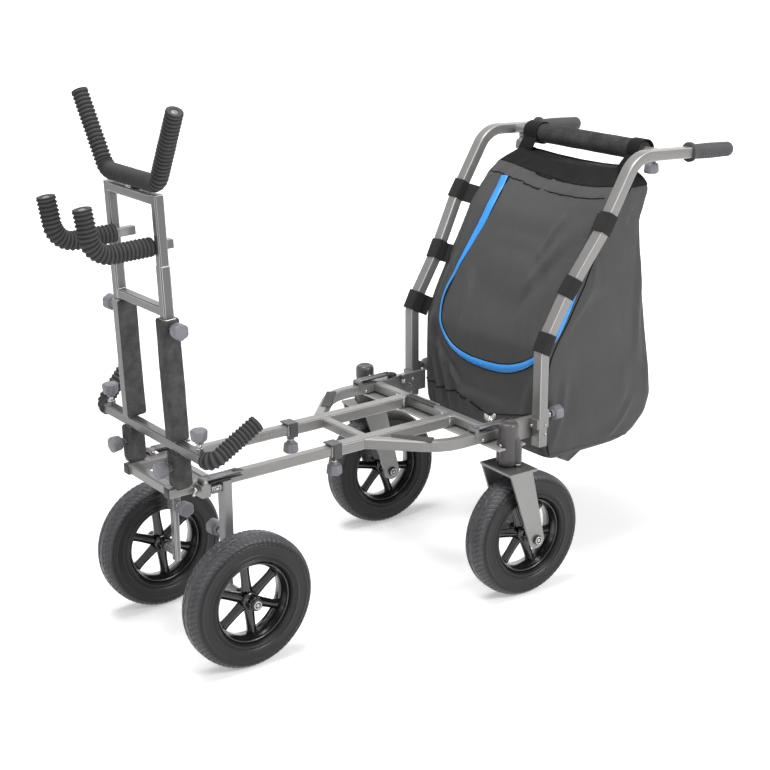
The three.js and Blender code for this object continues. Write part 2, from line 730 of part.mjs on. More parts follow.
function outerMemberPiece(side) {
  const startY = frontRail.centreY;
  const rise = outerMember.centreY - startY;
  const path = new BentPath(
    [
      new THREE.Vector3(outerMember.cornerX - rise / Math.tan(flareAngle), side * startY, railMidZ),
      new THREE.Vector3(outerMember.cornerX, side * outerMember.centreY, railMidZ),
      new THREE.Vector3(bracketFrontX + outerMember.weldRun, side * outerMember.centreY, railMidZ),
    ],
    outerMember.bendRadius,
  );
  const bent = bentTube(path, tubeSection(outerMember.height, outerMember.width, tubeCorner));
  const outerFace = handleInnerY - seatGap;
  const [y0, y1] = spanOn(side, bracket.innerY, outerFace);
  const box = block(bracketFrontX, bracket.rearX, y0, y1, bracket.bottomZ, bracket.topZ);
  const [e0, e1] = spanOn(side, outerFace - overrun, outerFace + bracketEar.reach);
  const ear = block(earFrontX, earFrontX + bracketEar.thickness, e0, e1, bracketEar.bottomZ, bracketEar.topZ);
  const frontEarX = handle.footX - handle.depth / 2 - seatGap;
  const frontEar = block(frontEarX - bracketEar.thickness, frontEarX, e0, e1, bracketEar.bottomZ, bracket.topZ);
  const lugs = latchLugs(rearLatch.hingeX, side * rearLatch.centreY, rearHingeZ, rearHingeZ - latch.lift);
  const whole = join(bent, box, ear, frontEar, ...lugs, bossOn(handleKnobSeat(side)));
  const railSide = rearRailOuterY + seatGap;
  const [c0, c1] = spanOn(side, 0, railSide);
  const railCut = block(rearRail.frontX, outerMember.cornerX, c0, c1, bracket.bottomZ, bracket.topZ);
  const trimmed = cut(whole, railCut, bossBore(handleKnobSeat(side)));
  const [m0, m1] = spanOn(side, 0, rearMemberHalf + seatGap);
  const memberCut = block(
    rearMember.frontX - seatGap,
    rearMember.frontX + rearMember.depth + seatGap,
    m0,
    m1,
    railMidZ - outerMember.height,
    railMidZ + outerMember.height,
  );
  return cut(trimmed, memberCut);
}

// Caster beam: a plate under the rails, with a hole at each end for the swivel housing
const beamTopZ = rearRailBottom - seatGap;
function casterBeamPiece() {
  const [x0, x1] = [caster.pivotX - casterBeam.depth / 2, caster.pivotX + casterBeam.depth / 2];
  const bottom = beamTopZ - casterBeam.thickness;
  const sheet = block(x0, x1, -beamHalfLength, beamHalfLength, bottom, beamTopZ);
  const holes = Object.values(sides).map((side) => {
    const centre = { x: caster.pivotX, y: side * caster.pivotY };
    return rod("z", bottom - overrun, beamTopZ + overrun, centre, housing.radius + seatGap, wheelFacets);
  });
  return cut(sheet, ...holes);
}
addPiece("caster_beam", casterBeamPiece(), plate);

// Swivel housing: a blind tube with a rounded cap
function housingPiece() {
  const bottom = fork.plateTopZ + seatGap;
  const outer = housing.radius;
  const profile = [
    [housing.boreRadius, bottom],
    [outer, bottom],
    [outer, housing.topZ - housing.capRound],
    [outer - housing.capRound / 3, housing.topZ - housing.capRound / 3],
    [outer - housing.capRound, housing.topZ],
    [0, housing.topZ],
    [0, housing.boreTopZ],
    [housing.boreRadius, housing.boreTopZ],
  ];
  return ringSolid(profile, housingFacets).rotateX(Math.PI / 2);
}

// Caster fork: top plate, two raked arms, the swivel stem and the axle across, all one weldment
function forkArm(side) {
  const outline = new THREE.Shape();
  const plateBottom = fork.plateTopZ - fork.plateThickness;
  outline.moveTo(-fork.armAhead, plateBottom + overrun);
  outline.lineTo(caster.trail - fork.armEndRadius, wheel.radius);
  outline.absarc(caster.trail, wheel.radius, fork.armEndRadius, Math.PI, 2 * Math.PI, false);
  outline.lineTo(fork.armBehind, plateBottom + overrun);
  const arm = new THREE.ExtrudeGeometry(outline, {
    depth: fork.armThickness,
    bevelEnabled: false,
    curveSegments: ribFacets,
  });
  const outerFace = fork.halfWidth;
  return arm.rotateX(Math.PI / 2).translate(0, side > 0 ? outerFace : fork.armThickness - outerFace, 0);
}

function forkPiece() {
  const plateBottom = fork.plateTopZ - fork.plateThickness;
  const top = block(
    -fork.plateAhead,
    fork.plateBehind,
    -fork.halfWidth,
    fork.halfWidth,
    plateBottom,
    fork.plateTopZ,
  );
  const pin = rod("z", plateBottom, stem.topZ, {}, stem.radius, hubFacets);
  const centre = { x: caster.trail, z: wheel.radius };
  const reach = fork.halfWidth + axle.nutLength;
  const bolt = rod("y", -fork.halfWidth, fork.halfWidth, centre, axle.radius);
  const ends = [-1, 1].flatMap((side) => [
    rod("y", ...spanOn(side, fork.halfWidth - overrun, reach), centre, axle.nutRadius, knobLobes),
    rod("y", ...spanOn(side, wheel.hubHalfWidth + seatGap, fork.halfWidth - overrun), centre, axle.collarRadius),
  ]);
  return join(top, forkArm(1), forkArm(-1), pin, bolt, ...ends);
}

// Rail clamp: a block round the rear rail's mouth, with a lip above it and the knob below
const clampCentreX = railClamp.frontX + railClamp.length / 2;
const clampBottomZ = rearRailBottom - seatGap - railClamp.floor;
const clampKnobSeat = (side) => seatAt(clampCentreX, side * frontRail.centreY, clampBottomZ, down);

function railClampPiece(side) {
  const half = rearRail.size / 2 + seatGap + railClamp.wall;
  const centreY = side * frontRail.centreY;
  const top = rearRailTop + seatGap + railClamp.lipThickness;
  const rearX = railClamp.frontX + railClamp.length;
  const body = block(railClamp.frontX, rearX, centreY - half, centreY + half, clampBottomZ, top);
  const lip = block(
    railClamp.frontX - railClamp.lipReach,
    rearX,
    centreY - half,
    centreY + half,
    top - railClamp.lipThickness + seatGap,
    top,
  );
  const bore = rearRail.size / 2 + seatGap;
  const railHole = block(
    railClamp.frontX - railClamp.lipReach - overrun,
    rearX + overrun,
    centreY - bore,
    centreY + bore,
    railMidZ - bore,
    railMidZ + bore,
  );
  const seat = clampKnobSeat(side);
  return cut(join(body, lip, bossOn(seat)), railHole, bossBore(seat));
}

// Push handle: upright, then raked back with a jog outward, then level to the grip
const tanRake = Math.tan(handleRake);
const rakedX = (z) => handle.footX + (z - handle.bendZ) / tanRake;
const handleEndX = rakedX(handle.topZ) + handle.levelRun;
const barX = handleEndX - handleBar.endInset;

function handlePath(side) {
  return new BentPath(
    [
      new THREE.Vector3(handle.footX, side * handle.lowerY, handle.footZ),
      new THREE.Vector3(handle.footX, side * handle.lowerY, handle.bendZ),
      new THREE.Vector3(rakedX(handle.jogStartZ), side * handle.lowerY, handle.jogStartZ),
      new THREE.Vector3(rakedX(handle.jogEndZ), side * handle.upperY, handle.jogEndZ),
      new THREE.Vector3(rakedX(handle.topZ), side * handle.upperY, handle.topZ),
      new THREE.Vector3(handleEndX, side * handle.upperY, handle.topZ - handle.endDrop),
    ],
    handle.bendRadius,
  );
}

const gripDrop = Math.atan2(handle.endDrop, handleEndX - rakedX(handle.topZ));
const barZ = handle.topZ - (barX - rakedX(handle.topZ)) * Math.tan(gripDrop);

function handlePiece(side) {
  const spigotPiece = rod("x", -overrun, grip.spigotLength, {}, grip.spigotRadius)
    .rotateY(gripDrop)
    .translate(handleEndX, side * handle.upperY, handle.topZ - handle.endDrop);
  return join(bentTube(handlePath(side), tubeSection(handle.width, handle.depth, tubeCorner)), spigotPiece);
}

function gripPiece() {
  const bore = clearOf(grip.spigotRadius + seatGap, hubFacets);
  const depth = grip.spigotLength + seatGap;
  const profile = [
    [bore, 0],
    [grip.flangeRadius, 0],
    [grip.flangeRadius, grip.flangeLength],
    [grip.radius, grip.flangeLength],
    [grip.radius * gripShares.waist, grip.length * gripShares.waistAt],
    [grip.radius, grip.length - grip.radius * gripShares.endRound],
    [grip.radius * gripShares.end, grip.length],
    [0, grip.length],
    [0, depth],
    [bore, depth],
  ];
  return ringSolid(profile, hubFacets).rotateZ(-Math.PI / 2);
}

// Grip bar across the handles, its pad, and the two knobs under its ends
const barInnerY = handle.upperY - handle.width / 2 - seatGap;
const barKnobY = (handleBar.padHalfLength + barInnerY) / 2 + seatGap;
const barKnobSeat = (side) => seatAt(barX, side * barKnobY, barZ - handleBar.radius, down);

function handleBarPiece() {
  const centre = { x: barX, z: barZ };
  const bar = rod("y", -barInnerY, barInnerY, centre, handleBar.radius, hubFacets);
  const seats = Object.values(sides).map(barKnobSeat);
  return cut(join(bar, ...seats.map((seat) => bossOn(seat))), ...seats.map((seat) => bossBore(seat)));
}

function barPadPiece() {
  const half = handleBar.padHalfLength - knob.bossRadius / 2;
  const bore = clearOf(handleBar.radius + handleBar.padClearance, hubFacets);
  const pad = ringSolid(
    [
      [bore, -half],
      [handleBar.padRadius, -half],
      [handleBar.padRadius, half],
      [bore, half],
    ],
    hubFacets,
  );
  return pad.translate(barX, 0, barZ);
}

// Bag: hangs between the handles, up to just under the padded bar
const bagHeight = barZ - handleBar.padRadius - bag.topGap - bag.bottomZ;
const bagFrontX = handleRearX + bag.frontGap;
const bagHalfWidth = handleInnerY - bag.sideGap;
const bagLevels = bagLevelShares.map(([rise, front, back, half]) => ({
  z: bag.bottomZ + rise * bagHeight,
  front: bagFrontX + front * bag.depth,
  back: bagFrontX + back * bag.depth,
  half: half * bagHalfWidth,
}));

function roundedRing({ z, front, back, half }, points, radius) {
  const perCorner = points / 4;
  const centreX = (front + back) / 2;
  const halfDepth = (back - front) / 2;
  const round = Math.min(radius, halfDepth * bagCornerShare);
  return Array.from({ length: points }, (_, i) => {
    const corner = Math.floor(i / perCorner);
    const angle = (Math.PI / 2) * (corner + (i % perCorner) / (perCorner - 1));
    const [sx, sy] = [
      [1, 1],
      [-1, 1],
      [-1, -1],
      [1, -1],
    ][corner];
    return new THREE.Vector3(
      centreX + sx * (halfDepth - round) + round * Math.cos(angle),
      sy * (half - round) + round * Math.sin(angle),
      z,
    );
  });
}

// Place of the bag's front at a height
function bagFrontAt(z) {
  const above = bagLevels.findIndex((level) => level.z >= z);
  const [low, high] = [bagLevels[above - 1], bagLevels[above]];
  return THREE.MathUtils.mapLinear(z, low.z, high.z, low.front, high.front);
}

// A strap: a band round the handle tube, with its doubled tail running back into the bag's front corner
function strapPiece(side, height) {
  const path = handlePath(side);
  const marks = Array.from({ length: path.steps * strapMarks + 1 }, (_, i) => i / (path.steps * strapMarks));
  const share = marks.find((t) => path.getPoint(t).z >= height);
  const centre = path.getPoint(share);
  const heading = path.getTangent(share).setY(0).normalize();
  const across = new THREE.Vector3(0, 1, 0);
  const rearward = across.clone().cross(heading).normalize();
  const place = new THREE.Matrix4().makeBasis(rearward, across, heading).setPosition(centre);
  const sheath = (grow) =>
    bentTube(path, tubeSection(handle.width + 2 * grow, handle.depth + 2 * grow, tubeCorner));
  const start = new THREE.Vector3(0, -side * (handle.width / 2 + strap.slack + strap.thickness / 2), 0);
  const bagCorner = new THREE.Vector3(
    (bagFrontAt(centre.z) - centre.x) * rearward.x + strap.inset,
    side * (bagHalfWidth - strap.inset) - centre.y,
    0,
  );
  const tailLength = start.distanceTo(bagCorner);
  const tail = block(0, tailLength, -strap.thickness, strap.thickness, -strap.width / 2, strap.width / 2);
  const bearing = Math.atan2(bagCorner.y - start.y, bagCorner.x - start.x);
  tail.rotateZ(bearing).translate(start.x, start.y, 0);
  const reach = handle.width;
  const stretch = block(-reach, reach, -reach, reach, -strap.width / 2, strap.width / 2);
  const band = common(sheath(strap.slack + strap.thickness), stretch.applyMatrix4(place));
  return cut(join(band, tail.applyMatrix4(place)), sheath(strap.slack));
}

// A loop: a band round the padded bar with a doubled tail down to the bag's top
function loopPieces(side) {
  const centreY = side * loop.centreY;
  const [y0, y1] = [centreY - loop.width / 2, centreY + loop.width / 2];
  const inner = handleBar.padRadius + strap.slack;
  const centre = { x: barX, z: barZ };
  const band = rod("y", y0, y1, centre, inner + loop.thickness, hubFacets);
  const bore = rod("y", y0 - overrun, y1 + overrun, centre, inner, hubFacets);
  const top = bagLevels.at(-1);
  const tailX = (top.front + top.back) / 2;
  const rest = barZ - inner - loop.thickness / 2;
  const tailSide = rest - (bagLevels.at(-2).z - overrun);
  const tail = block(tailX - loop.thickness, tailX + 2 * loop.thickness, y0, y1, rest - tailSide, rest);
  const shelf = block(tailX - loop.thickness, barX, y0, y1, rest - loop.thickness, rest);
  return [cut(join(band, shelf, tail), bore)];
}

function bagPiece() {
  const body = loft(bagLevels.map((level) => roundedRing(level, bag.ringPoints, bag.cornerRadius)));
  const straps = Object.values(sides).flatMap((side) => strapHeightShares.map((share) => strapPiece(side, bag.bottomZ + share * bagHeight)));
  const loops = Object.values(sides).flatMap(loopPieces);
  return join(body, ...straps, ...loops);
}
addPiece("bag", bagPiece(), bagCloth);
addPiece("handle_bar", handleBarPiece(), pewter);
addPiece("bar_pad", barPadPiece(), foam);

// Rod rest: posts, butt bar and foam, in the leaning frame
const postSize = { x: post.size, y: post.size };
const postKnobZ = post.topZ - postKnob.belowTop;
const buttKnobY = buttBar.halfLength - buttKnob.endInset;
const postKnobSeat = (side) => seatAt(0, side * (post.centreY + post.size / 2), postKnobZ, outwardOn(side));
const footKnobSeat = (side) => seatAt(-post.size / 2, side * post.centreY, footKnob.z, ahead);
const buttKnobSeat = (side) => seatAt(0, side * buttKnobY, buttBar.bottomZ + buttBar.height, up);
const buttBarMidZ = buttBar.bottomZ + buttBar.height / 2;
const footBossHeight = sleeve.thickness + knob.bossHeight;

function buttBarPiece() {
  const centre = { x: 0, z: buttBarMidZ };
  const bar = tube("y", -buttBar.halfLength, buttBar.halfLength, centre, { x: buttBar.depth, z: buttBar.height });
  const feet = Object.values(sides).map((side) =>
    tube("z", post.footZ, buttBar.bottomZ + overrun, { x: 0, y: side * post.centreY }, postSize),
  );
  const cuts = Object.values(sides).flatMap((side) => {
    const spigotSize = post.size - 2 * sleeveWall;
    const size = { x: spigotSize, y: spigotSize };
    const span = spanOn(side, buttBar.halfLength - buttHorn.rodDepth - seatGap, buttBar.halfLength + overrun);
    return [
      tube("z", 0, spigot.topZ + seatGap * 2, { x: 0, y: side * post.centreY }, size),
      rod("y", ...span, centre, buttHorn.rodRadius + buttHorn.rodClearance, hubFacets),
      bossBore(footKnobSeat(side), footBossHeight),
      bossBore(buttKnobSeat(side)),
    ];
  });
  const bosses = Object.values(sides).flatMap((side) => [
    bossOn(footKnobSeat(side), footBossHeight),
    bossOn(buttKnobSeat(side)),
  ]);
  return cut(join(bar, ...feet, ...bosses), ...cuts);
}
addPiece("butt_bar", buttBarPiece(), pewter, rodRest);

function postPiece(side) {
  const start = buttBar.bottomZ + buttBar.height + seatGap;
  const shell = tube("z", start, post.topZ, { x: 0, y: side * post.centreY }, postSize, { wall: sleeveWall });
  return cut(join(shell, postBoss(side)), bossBore(postKnobSeat(side), footBossHeight), postBoreClear(side));
}

const postBoss = (side) => bossOn(postKnobSeat(side), footBossHeight);

function postBoreClear(side) {
  const size = post.size - 2 * sleeveWall;
  return tube("z", buttBar.bottomZ, post.topZ + overrun, { x: 0, y: side * post.centreY }, { x: size, y: size });
}

// Foam sleeve with a seam; the right-hand one stands open and bares the post's outer side
function foamSleeve(side, start, end, seat) {
  const bore = post.size + 2 * sleeve.boreClearance;
  const outer = bore + 2 * sleeve.thickness;
  const open = side > 0 && end > buttBar.bottomZ;
  const slack = open ? openSleeveSlack : 0;
  const centre = { x: slack / 2, y: side * post.centreY };
  const jacket = tube("z", start, end, centre, { x: outer + slack, y: outer }, { corner: sleeve.corner });
  const core = tube("z", start - overrun, end + overrun, centre, { x: bore + slack, y: bore });
  const seamY = centre.y + bore / 2 - sleeve.seamWidth;
  const slot = open
    ? block(-outer, bore / 2, centre.y + openSleeveBareY, centre.y + outer, start - overrun, end + overrun)
    : block(-outer, 0, seamY - sleeve.seamWidth, seamY, start - overrun, end + overrun);
  const hole = rod("z", -overrun, footBossHeight + overrun, {}, knob.bossRadius + seatGap);
  return cut(jacket, core, slot, hole.applyMatrix4(seatMatrix(seat)));
}

// Rest frame: two uprights that step down in size, with a top bar and a low bar
function restFramePiece() {
  const square = (size) => ({ x: size, y: size });
  const pieces = Object.values(sides).flatMap((side) => {
    const centre = { x: 0, y: side * post.centreY };
    return [
      tube("z", restTube.bottomZ, restTube.stepZ, centre, square(restTube.lower)),
      tube("z", restTube.stepZ - overrun, restTube.topZ, centre, square(restTube.upper)),
    ];
  });
  const reach = post.centreY;
  const topCentre = { x: 0, z: restTube.topZ - restTube.upper / 2 };
  const lowCentre = { x: 0, z: restBar.bottomZ + restBar.height / 2 };
  pieces.push(tube("y", -reach, reach, topCentre, { x: restTube.upper, z: restTube.upper }));
  pieces.push(tube("y", -reach, reach, lowCentre, { x: restBar.depth, z: restBar.height }));
  return join(...pieces);
}
addPiece("rest_frame", restFramePiece(), pewter, rodRest);

// V cradle on a single mount at the middle of the top bar
function cradlePiece() {
  const axisZ = restTube.topZ + cradle.standOff + cradle.radius;
  const corner = (y, z) => new THREE.Vector3(0, y, z);
  const path = new BentPath(
    [
      corner(-cradle.armTopY, cradle.armTopZ),
      corner(-cradle.halfBottom, axisZ),
      corner(cradle.halfBottom, axisZ),
      corner(cradle.armTopY, cradle.armTopZ),
    ],
    cradle.bendRadius,
  );
  const half = cradle.mountHalf;
  const mount = block(-half, half, -half, half, restTube.topZ + seatGap, axisZ);
  return join(ribbedFoam(path, cradle.radius, new THREE.Vector3(1, 0, 0)), mount);
}
addPiece("cradle", cradlePiece(), foam, rodRest);

// J horn beside each upright, on a square stub
function rodHornPiece(side) {
  const y = side * (post.centreY - restTube.upper / 2 - seatGap - rodHorn.stub / 2);
  const corner = (x, z) => new THREE.Vector3(x, y, z);
  const path = new BentPath(
    [
      corner(rodHorn.foamRearX, rodHorn.axisZ),
      corner(rodHorn.cornerX, rodHorn.axisZ),
      corner(rodHorn.tipX, rodHorn.tipZ),
    ],
    rodHorn.bendRadius,
  );
  const size = { y: rodHorn.stub, z: rodHorn.stub };
  const stub = tube("x", rodHorn.foamRearX - overrun, rodHorn.stubRearX, { y, z: rodHorn.axisZ }, size);
  return join(ribbedFoam(path, rodHorn.radius, new THREE.Vector3(0, 1, 0)), stub);
}

// Butt horn: an L-shaped rod in the end of the butt bar, with ribbed foam
function buttHornPiece(side) {
  const rise = side > 0 ? buttHornRise.right : buttHornRise.left;
  const startY = buttBar.halfLength + seatGap;
  const cornerY = buttBar.halfLength + buttHorn.cornerReach;
  const corner = (x, y, z) => new THREE.Vector3(x, side * y, z);
  const path = new BentPath(
    [corner(0, startY, 0), corner(0, cornerY, 0), corner(buttHorn.armLength, cornerY, 0)],
    buttHorn.bendRadius,
  );
  const shank = spanOn(side, buttBar.halfLength - buttHorn.rodDepth, startY + overrun);
  const rodPiece = rod("y", ...shank, {}, buttHorn.rodRadius, hubFacets);
  const arm = ribbedFoam(path, buttHorn.radius, new THREE.Vector3(0, 0, 1));
  return join(arm, rodPiece).rotateY(-rise).translate(0, 0, buttBarMidZ);
}

// Pairs
for (const [sideName, side] of Object.entries(sides)) {
  addPiece(`outer_member_${sideName}`, outerMemberPiece(side), pewter);
  const pivot = new THREE.Vector3(caster.pivotX, side * caster.pivotY, 0);
  addPiece(`pivot_housing_${sideName}`, housingPiece(), capPlastic).position.copy(pivot);
  const turn = casterTurn[sideName];
  const forkMesh = addPiece(`caster_fork_${sideName}`, forkPiece(), plate);
  forkMesh.position.copy(pivot);
  forkMesh.rotation.z = turn;
  const wheelX = pivot.x + caster.trail * Math.cos(turn);
  const wheelY = pivot.y + caster.trail * Math.sin(turn);
  addWheel("caster", sideName, wheelX, wheelY, turn);
  addWheel("front", sideName, 0, side * frontTrackY);
  addPiece(`front_leg_${sideName}`, frontLeg(side), pewter);
  addPiece(`rail_clamp_${sideName}`, railClampPiece(side), darkMetal);
  addPiece(`handle_tube_${sideName}`, handlePiece(side), pewter);
  const gripMesh = addPiece(`grip_${sideName}`, gripPiece(), gripRubber);
  gripMesh.rotation.y = gripDrop;
  gripMesh.position.set(handleEndX + seatGap, side * handle.upperY, handle.topZ - handle.endDrop);
  const frontLever = addPiece(`front_latch_${sideName}`, latchLever(frontLatch.length), darkMetal);
  frontLever.position.set(frontLatch.hingeX, side * frontLatch.centreY, frontHingeZ);
  const rearLever = addPiece(`rear_latch_${sideName}`, latchLever(rearLatch.length), darkMetal);
  rearLever.position.set(rearLatch.hingeX, side * rearLatch.centreY, rearHingeZ);

  addPiece(`post_${sideName}`, postPiece(side), pewter, rodRest);
  const barTop = buttBar.bottomZ + buttBar.height;
  const longSleeve = foamSleeve(side, barTop + sleeve.endGap, post.topZ - overrun, postKnobSeat(side));
  addPiece(`post_foam_${sideName}`, longSleeve, foam, rodRest);
  const footSleeve = foamSleeve(side, post.footZ + sleeve.endGap, buttBar.bottomZ - seatGap, footKnobSeat(side));
  addPiece(`foot_foam_${sideName}`, footSleeve, foam, rodRest);
  addPiece(`rod_horn_${sideName}`, rodHornPiece(side), foam, rodRest);
  addPiece(`butt_horn_${sideName}`, buttHornPiece(side), foam, rodRest);

  addKnob(`leg_knob_${sideName}`, legKnobSeat(side), assembly, legKnob.standOff);
  addKnob(`rail_knob_${sideName}`, clampKnobSeat(side), assembly, railKnob.standOff);
  addKnob(`handle_knob_${sideName}`, handleKnobSeat(side), assembly, handleKnob.standOff);
  addKnob(`bar_knob_${sideName}`, barKnobSeat(side));
  addKnob(`post_knob_${sideName}`, postKnobSeat(side), rodRest, footBossHeight + overrun);
  addKnob(`foot_knob_${sideName}`, footKnobSeat(side), rodRest, footKnob.standOff);
  addKnob(`butt_knob_${sideName}`, buttKnobSeat(side), rodRest, buttKnob.standOff);
}

// The origin lies halfway along the whole length
trolley.updateMatrixWorld(true);
const extent = new THREE.Box3().setFromObject(assembly, true);
assembly.position.x = -(extent.min.x + extent.max.x) / 2;

export default trolley;
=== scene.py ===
"""Looks for the fishing trolley: its cloth bag, foam, tyres, rims, knobs, tubes and small fittings."""
import math

import bpy
import numpy as np
from bpy.props import FloatProperty, FloatVectorProperty, PointerProperty
from bpy.types import Operator, Panel, PropertyGroup
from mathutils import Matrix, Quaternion, Vector


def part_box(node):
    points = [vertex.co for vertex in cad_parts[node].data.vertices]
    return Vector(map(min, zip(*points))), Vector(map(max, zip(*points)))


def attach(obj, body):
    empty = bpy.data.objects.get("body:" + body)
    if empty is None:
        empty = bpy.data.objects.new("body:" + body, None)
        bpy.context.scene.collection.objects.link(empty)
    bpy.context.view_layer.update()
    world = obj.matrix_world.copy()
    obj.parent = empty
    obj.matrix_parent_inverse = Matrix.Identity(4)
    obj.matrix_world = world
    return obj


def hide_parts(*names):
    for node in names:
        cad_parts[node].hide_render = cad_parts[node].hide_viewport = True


bl_info = {
    "name": "Fishing Trolley Looks",
    "version": (1, 0, 0),
    "blender": (4, 5, 0),
    "location": "3D View > Sidebar > Trolley",
    "description": "Dresses the fishing trolley's frame with cloth, foam, rubber and small fittings",
    "category": "Object",
}

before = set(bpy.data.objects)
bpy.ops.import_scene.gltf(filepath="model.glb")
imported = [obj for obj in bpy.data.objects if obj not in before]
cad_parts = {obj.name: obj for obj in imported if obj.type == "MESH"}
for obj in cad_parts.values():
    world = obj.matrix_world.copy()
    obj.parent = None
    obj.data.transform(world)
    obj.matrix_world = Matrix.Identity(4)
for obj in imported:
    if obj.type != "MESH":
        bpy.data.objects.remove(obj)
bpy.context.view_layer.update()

SIDES = {"left": -1.0, "right": 1.0}
MM = 0.001
UP = np.array([0, 0, 1.0])

# The camera: its bearing, drop and roll, its place in millimetres from the front axle, and its focal length in pixels
HEADING, PITCH, ROLL = (math.radians(angle) for angle in (53.14, 18.11, 0.29))
CAMERA_PLACE = (-1334.4, -2366.5, 1379.3)
FOCAL_LENGTH, PICTURE_WIDTH, SENSOR_WIDTH = 1540.67, 770.0, 36.0

# The rod rest leans forward about its foot; its pieces are drawn upright and then leaned
LEAN = math.radians(2.13)
REST_FOOT = np.array([-82.5, 0.0, 343.7])

# How far the posts, rails, handles' feet, grips and latches are from the middle plane; millimetres
POST_Y, RAIL_Y, HANDLE_Y, GRIP_Y = 85.8, 76, 209.5, 227.5
FRONT_LATCH_Y, REAR_LATCH_Y = 98, 194
# Where a caster swivels, the wheels' radius, the handle tube's section and the radius of its bends; millimetres
PIVOT_X, PIVOT_Y = 563.5, 238
WHEEL_RADIUS = 130
HANDLE_TUBE, HANDLE_BEND = np.array([22.0, 25.0]), 62
# Length round a tyre and round its section, which its UV map covers; metres
TYRE_LENGTHS = (0.8168, 0.16)


def box_middle(node):
    """Middle of a CAD node's box."""
    low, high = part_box(node)
    return (np.array(low) + np.array(high)) / 2


# Place of the front axle along the row frame
AXLE_X = box_middle("front_rim_right")[0]


def at(points):
    """Millimetres from the front axle and the floor, turned into metres in the row frame."""
    points = np.asarray(points, float) * MM
    return points + np.array([AXLE_X, 0.0, 0.0])


def leaned(points):
    """Upright rest points turned back by the lean: x' = x cos - z sin, z' = x sin + z cos, then moved to the foot."""
    points = np.asarray(points, float)
    x, y, z = points[..., 0], points[..., 1], points[..., 2]
    c, s = math.cos(LEAN), math.sin(LEAN)
    return at(np.stack([x * c - z * s, y, x * s + z * c], -1) + REST_FOOT)


def unit(vector):
    """Vectors divided by their lengths."""
    vector = np.asarray(vector, float)
    return vector / np.linalg.norm(vector, axis=-1, keepdims=True)


def smooth(low, high, value):
    """Eased step from 0 at low to 1 at high: t * t * (3 - 2 t)."""
    t = np.clip((value - low) / (high - low), 0.0, 1.0)
    return t * t * (3 - 2 * t)


def signed_power(value, power):
    """|value| raised to a power, with the sign of the value."""
    return np.sign(value) * np.abs(value) ** power


def averaged(values, reach):
    """Values averaged over a bell-shaped window that reaches so many places to each side, with the ends mirrored."""
    window = np.hanning(2 * reach + 1)
    return np.convolve(np.pad(values, reach, mode="reflect", reflect_type="odd"), window / window.sum(), "valid")


def ripple(*coordinates, seed, waves=7):
    """Smooth seeded unevenness between about -1 and 1: a mean of sines with turned directions and mixed lengths."""
    rng = np.random.default_rng(seed)
    total = 0.0
    for step in range(waves):
        direction = rng.normal(size=len(coordinates))
        direction = direction / np.linalg.norm(direction) * (0.6 + 0.35 * step)
        phase = rng.uniform(0, 2 * math.pi)
        total = total + np.sin(sum(d * c for d, c in zip(direction, coordinates)) + phase) / (1 + 0.45 * step)
    return total / 2.6


# Meshes from arrays


def outward(points, quads, triangles, uv):
    """The faces of a surface and their UVs; all are turned over if the signed volume, which is the sum of a . (b x c)
    over the triangles, is negative."""
    fan = np.concatenate([quads[:, [0, 1, 2]], quads[:, [0, 2, 3]], triangles])
    a, b, c = (points[fan[:, k]] - points.mean(0) for k in range(3))
    faces = quads, triangles, uv[: quads.size].reshape(-1, 4, 2), uv[quads.size :].reshape(-1, 3, 2)
    if np.einsum("ij,ij->", a, np.cross(b, c)) < 0:
        faces = tuple(part[:, ::-1] for part in faces)
    return faces


def mesh_piece(name, points, quads, triangles, uv):
    """Arrays of points and faces put into a mesh whose faces look outwards."""
    quads, triangles, *uv = outward(points, quads, triangles, uv)
    mesh = bpy.data.meshes.new(name)
    corners = np.concatenate([quads.ravel(), triangles.ravel()])
    starts = np.concatenate([4 * np.arange(len(quads)), quads.size + 3 * np.arange(len(triangles))])
    mesh.vertices.add(len(points))
    mesh.vertices.foreach_set("co", points.ravel())
    mesh.loops.add(len(corners))
    mesh.loops.foreach_set("vertex_index", corners)
    mesh.polygons.add(len(starts))
    mesh.polygons.foreach_set("loop_start", starts)
    mesh.polygons.foreach_set("use_smooth", np.ones(len(starts), bool))
    mesh.uv_layers.new(name="Surface").data.foreach_set("uv", np.concatenate([part.ravel() for part in uv]))
    mesh.update(calc_edges=True)
    mesh.validate()
    piece = bpy.data.objects.new(name, mesh)
    bpy.context.scene.collection.objects.link(piece)
    return piece


def grid_faces(rows, columns, around, along, size, marks=None):
    """Faces of a grid of points and the UV of each face corner, in metres; around and along close the two directions.
    Marks, where given, are the rows' own places along the surface."""
    i, j = np.meshgrid(np.arange(rows - (not along)), np.arange(columns - (not around)), indexing="ij")
    row = np.stack([i, i, i + 1, i + 1], -1).reshape(-1, 4)
    column = np.stack([j, j + 1, j + 1, j], -1).reshape(-1, 4)
    place = row / rows * size[1] if marks is None else np.asarray(marks)[row % rows]
    uv = np.stack([column / columns * size[0], place], -1)
    return (row % rows) * columns + column % columns, uv


def skin_arrays(points, around=True, along=False, caps=True, size=(1.0, 1.0), marks=None):
    """Points, quads, triangles and UVs of a surface whose rows run along the piece and whose columns run around it."""
    rows, columns = points.shape[:2]
    quads, uv = grid_faces(rows, columns, around, along, size, marks)
    flat = points.reshape(-1, 3)
    triangles = np.zeros((0, 3), int)
    if caps and around and not along:
        ring = np.arange(columns)
        following = (ring + 1) % columns
        last = (rows - 1) * columns
        count = len(flat)
        triangles = np.concatenate(
            [
                np.stack([np.full(columns, count), following, ring], 1),
                np.stack([np.full(columns, count + 1), last + ring, last + following], 1),
            ]
        )
        flat = np.concatenate([flat, points[0].mean(0)[None], points[-1].mean(0)[None]])
    corner_uv = np.concatenate([uv.reshape(-1, 2), np.zeros((triangles.size, 2))])
    return flat, quads, triangles, corner_uv


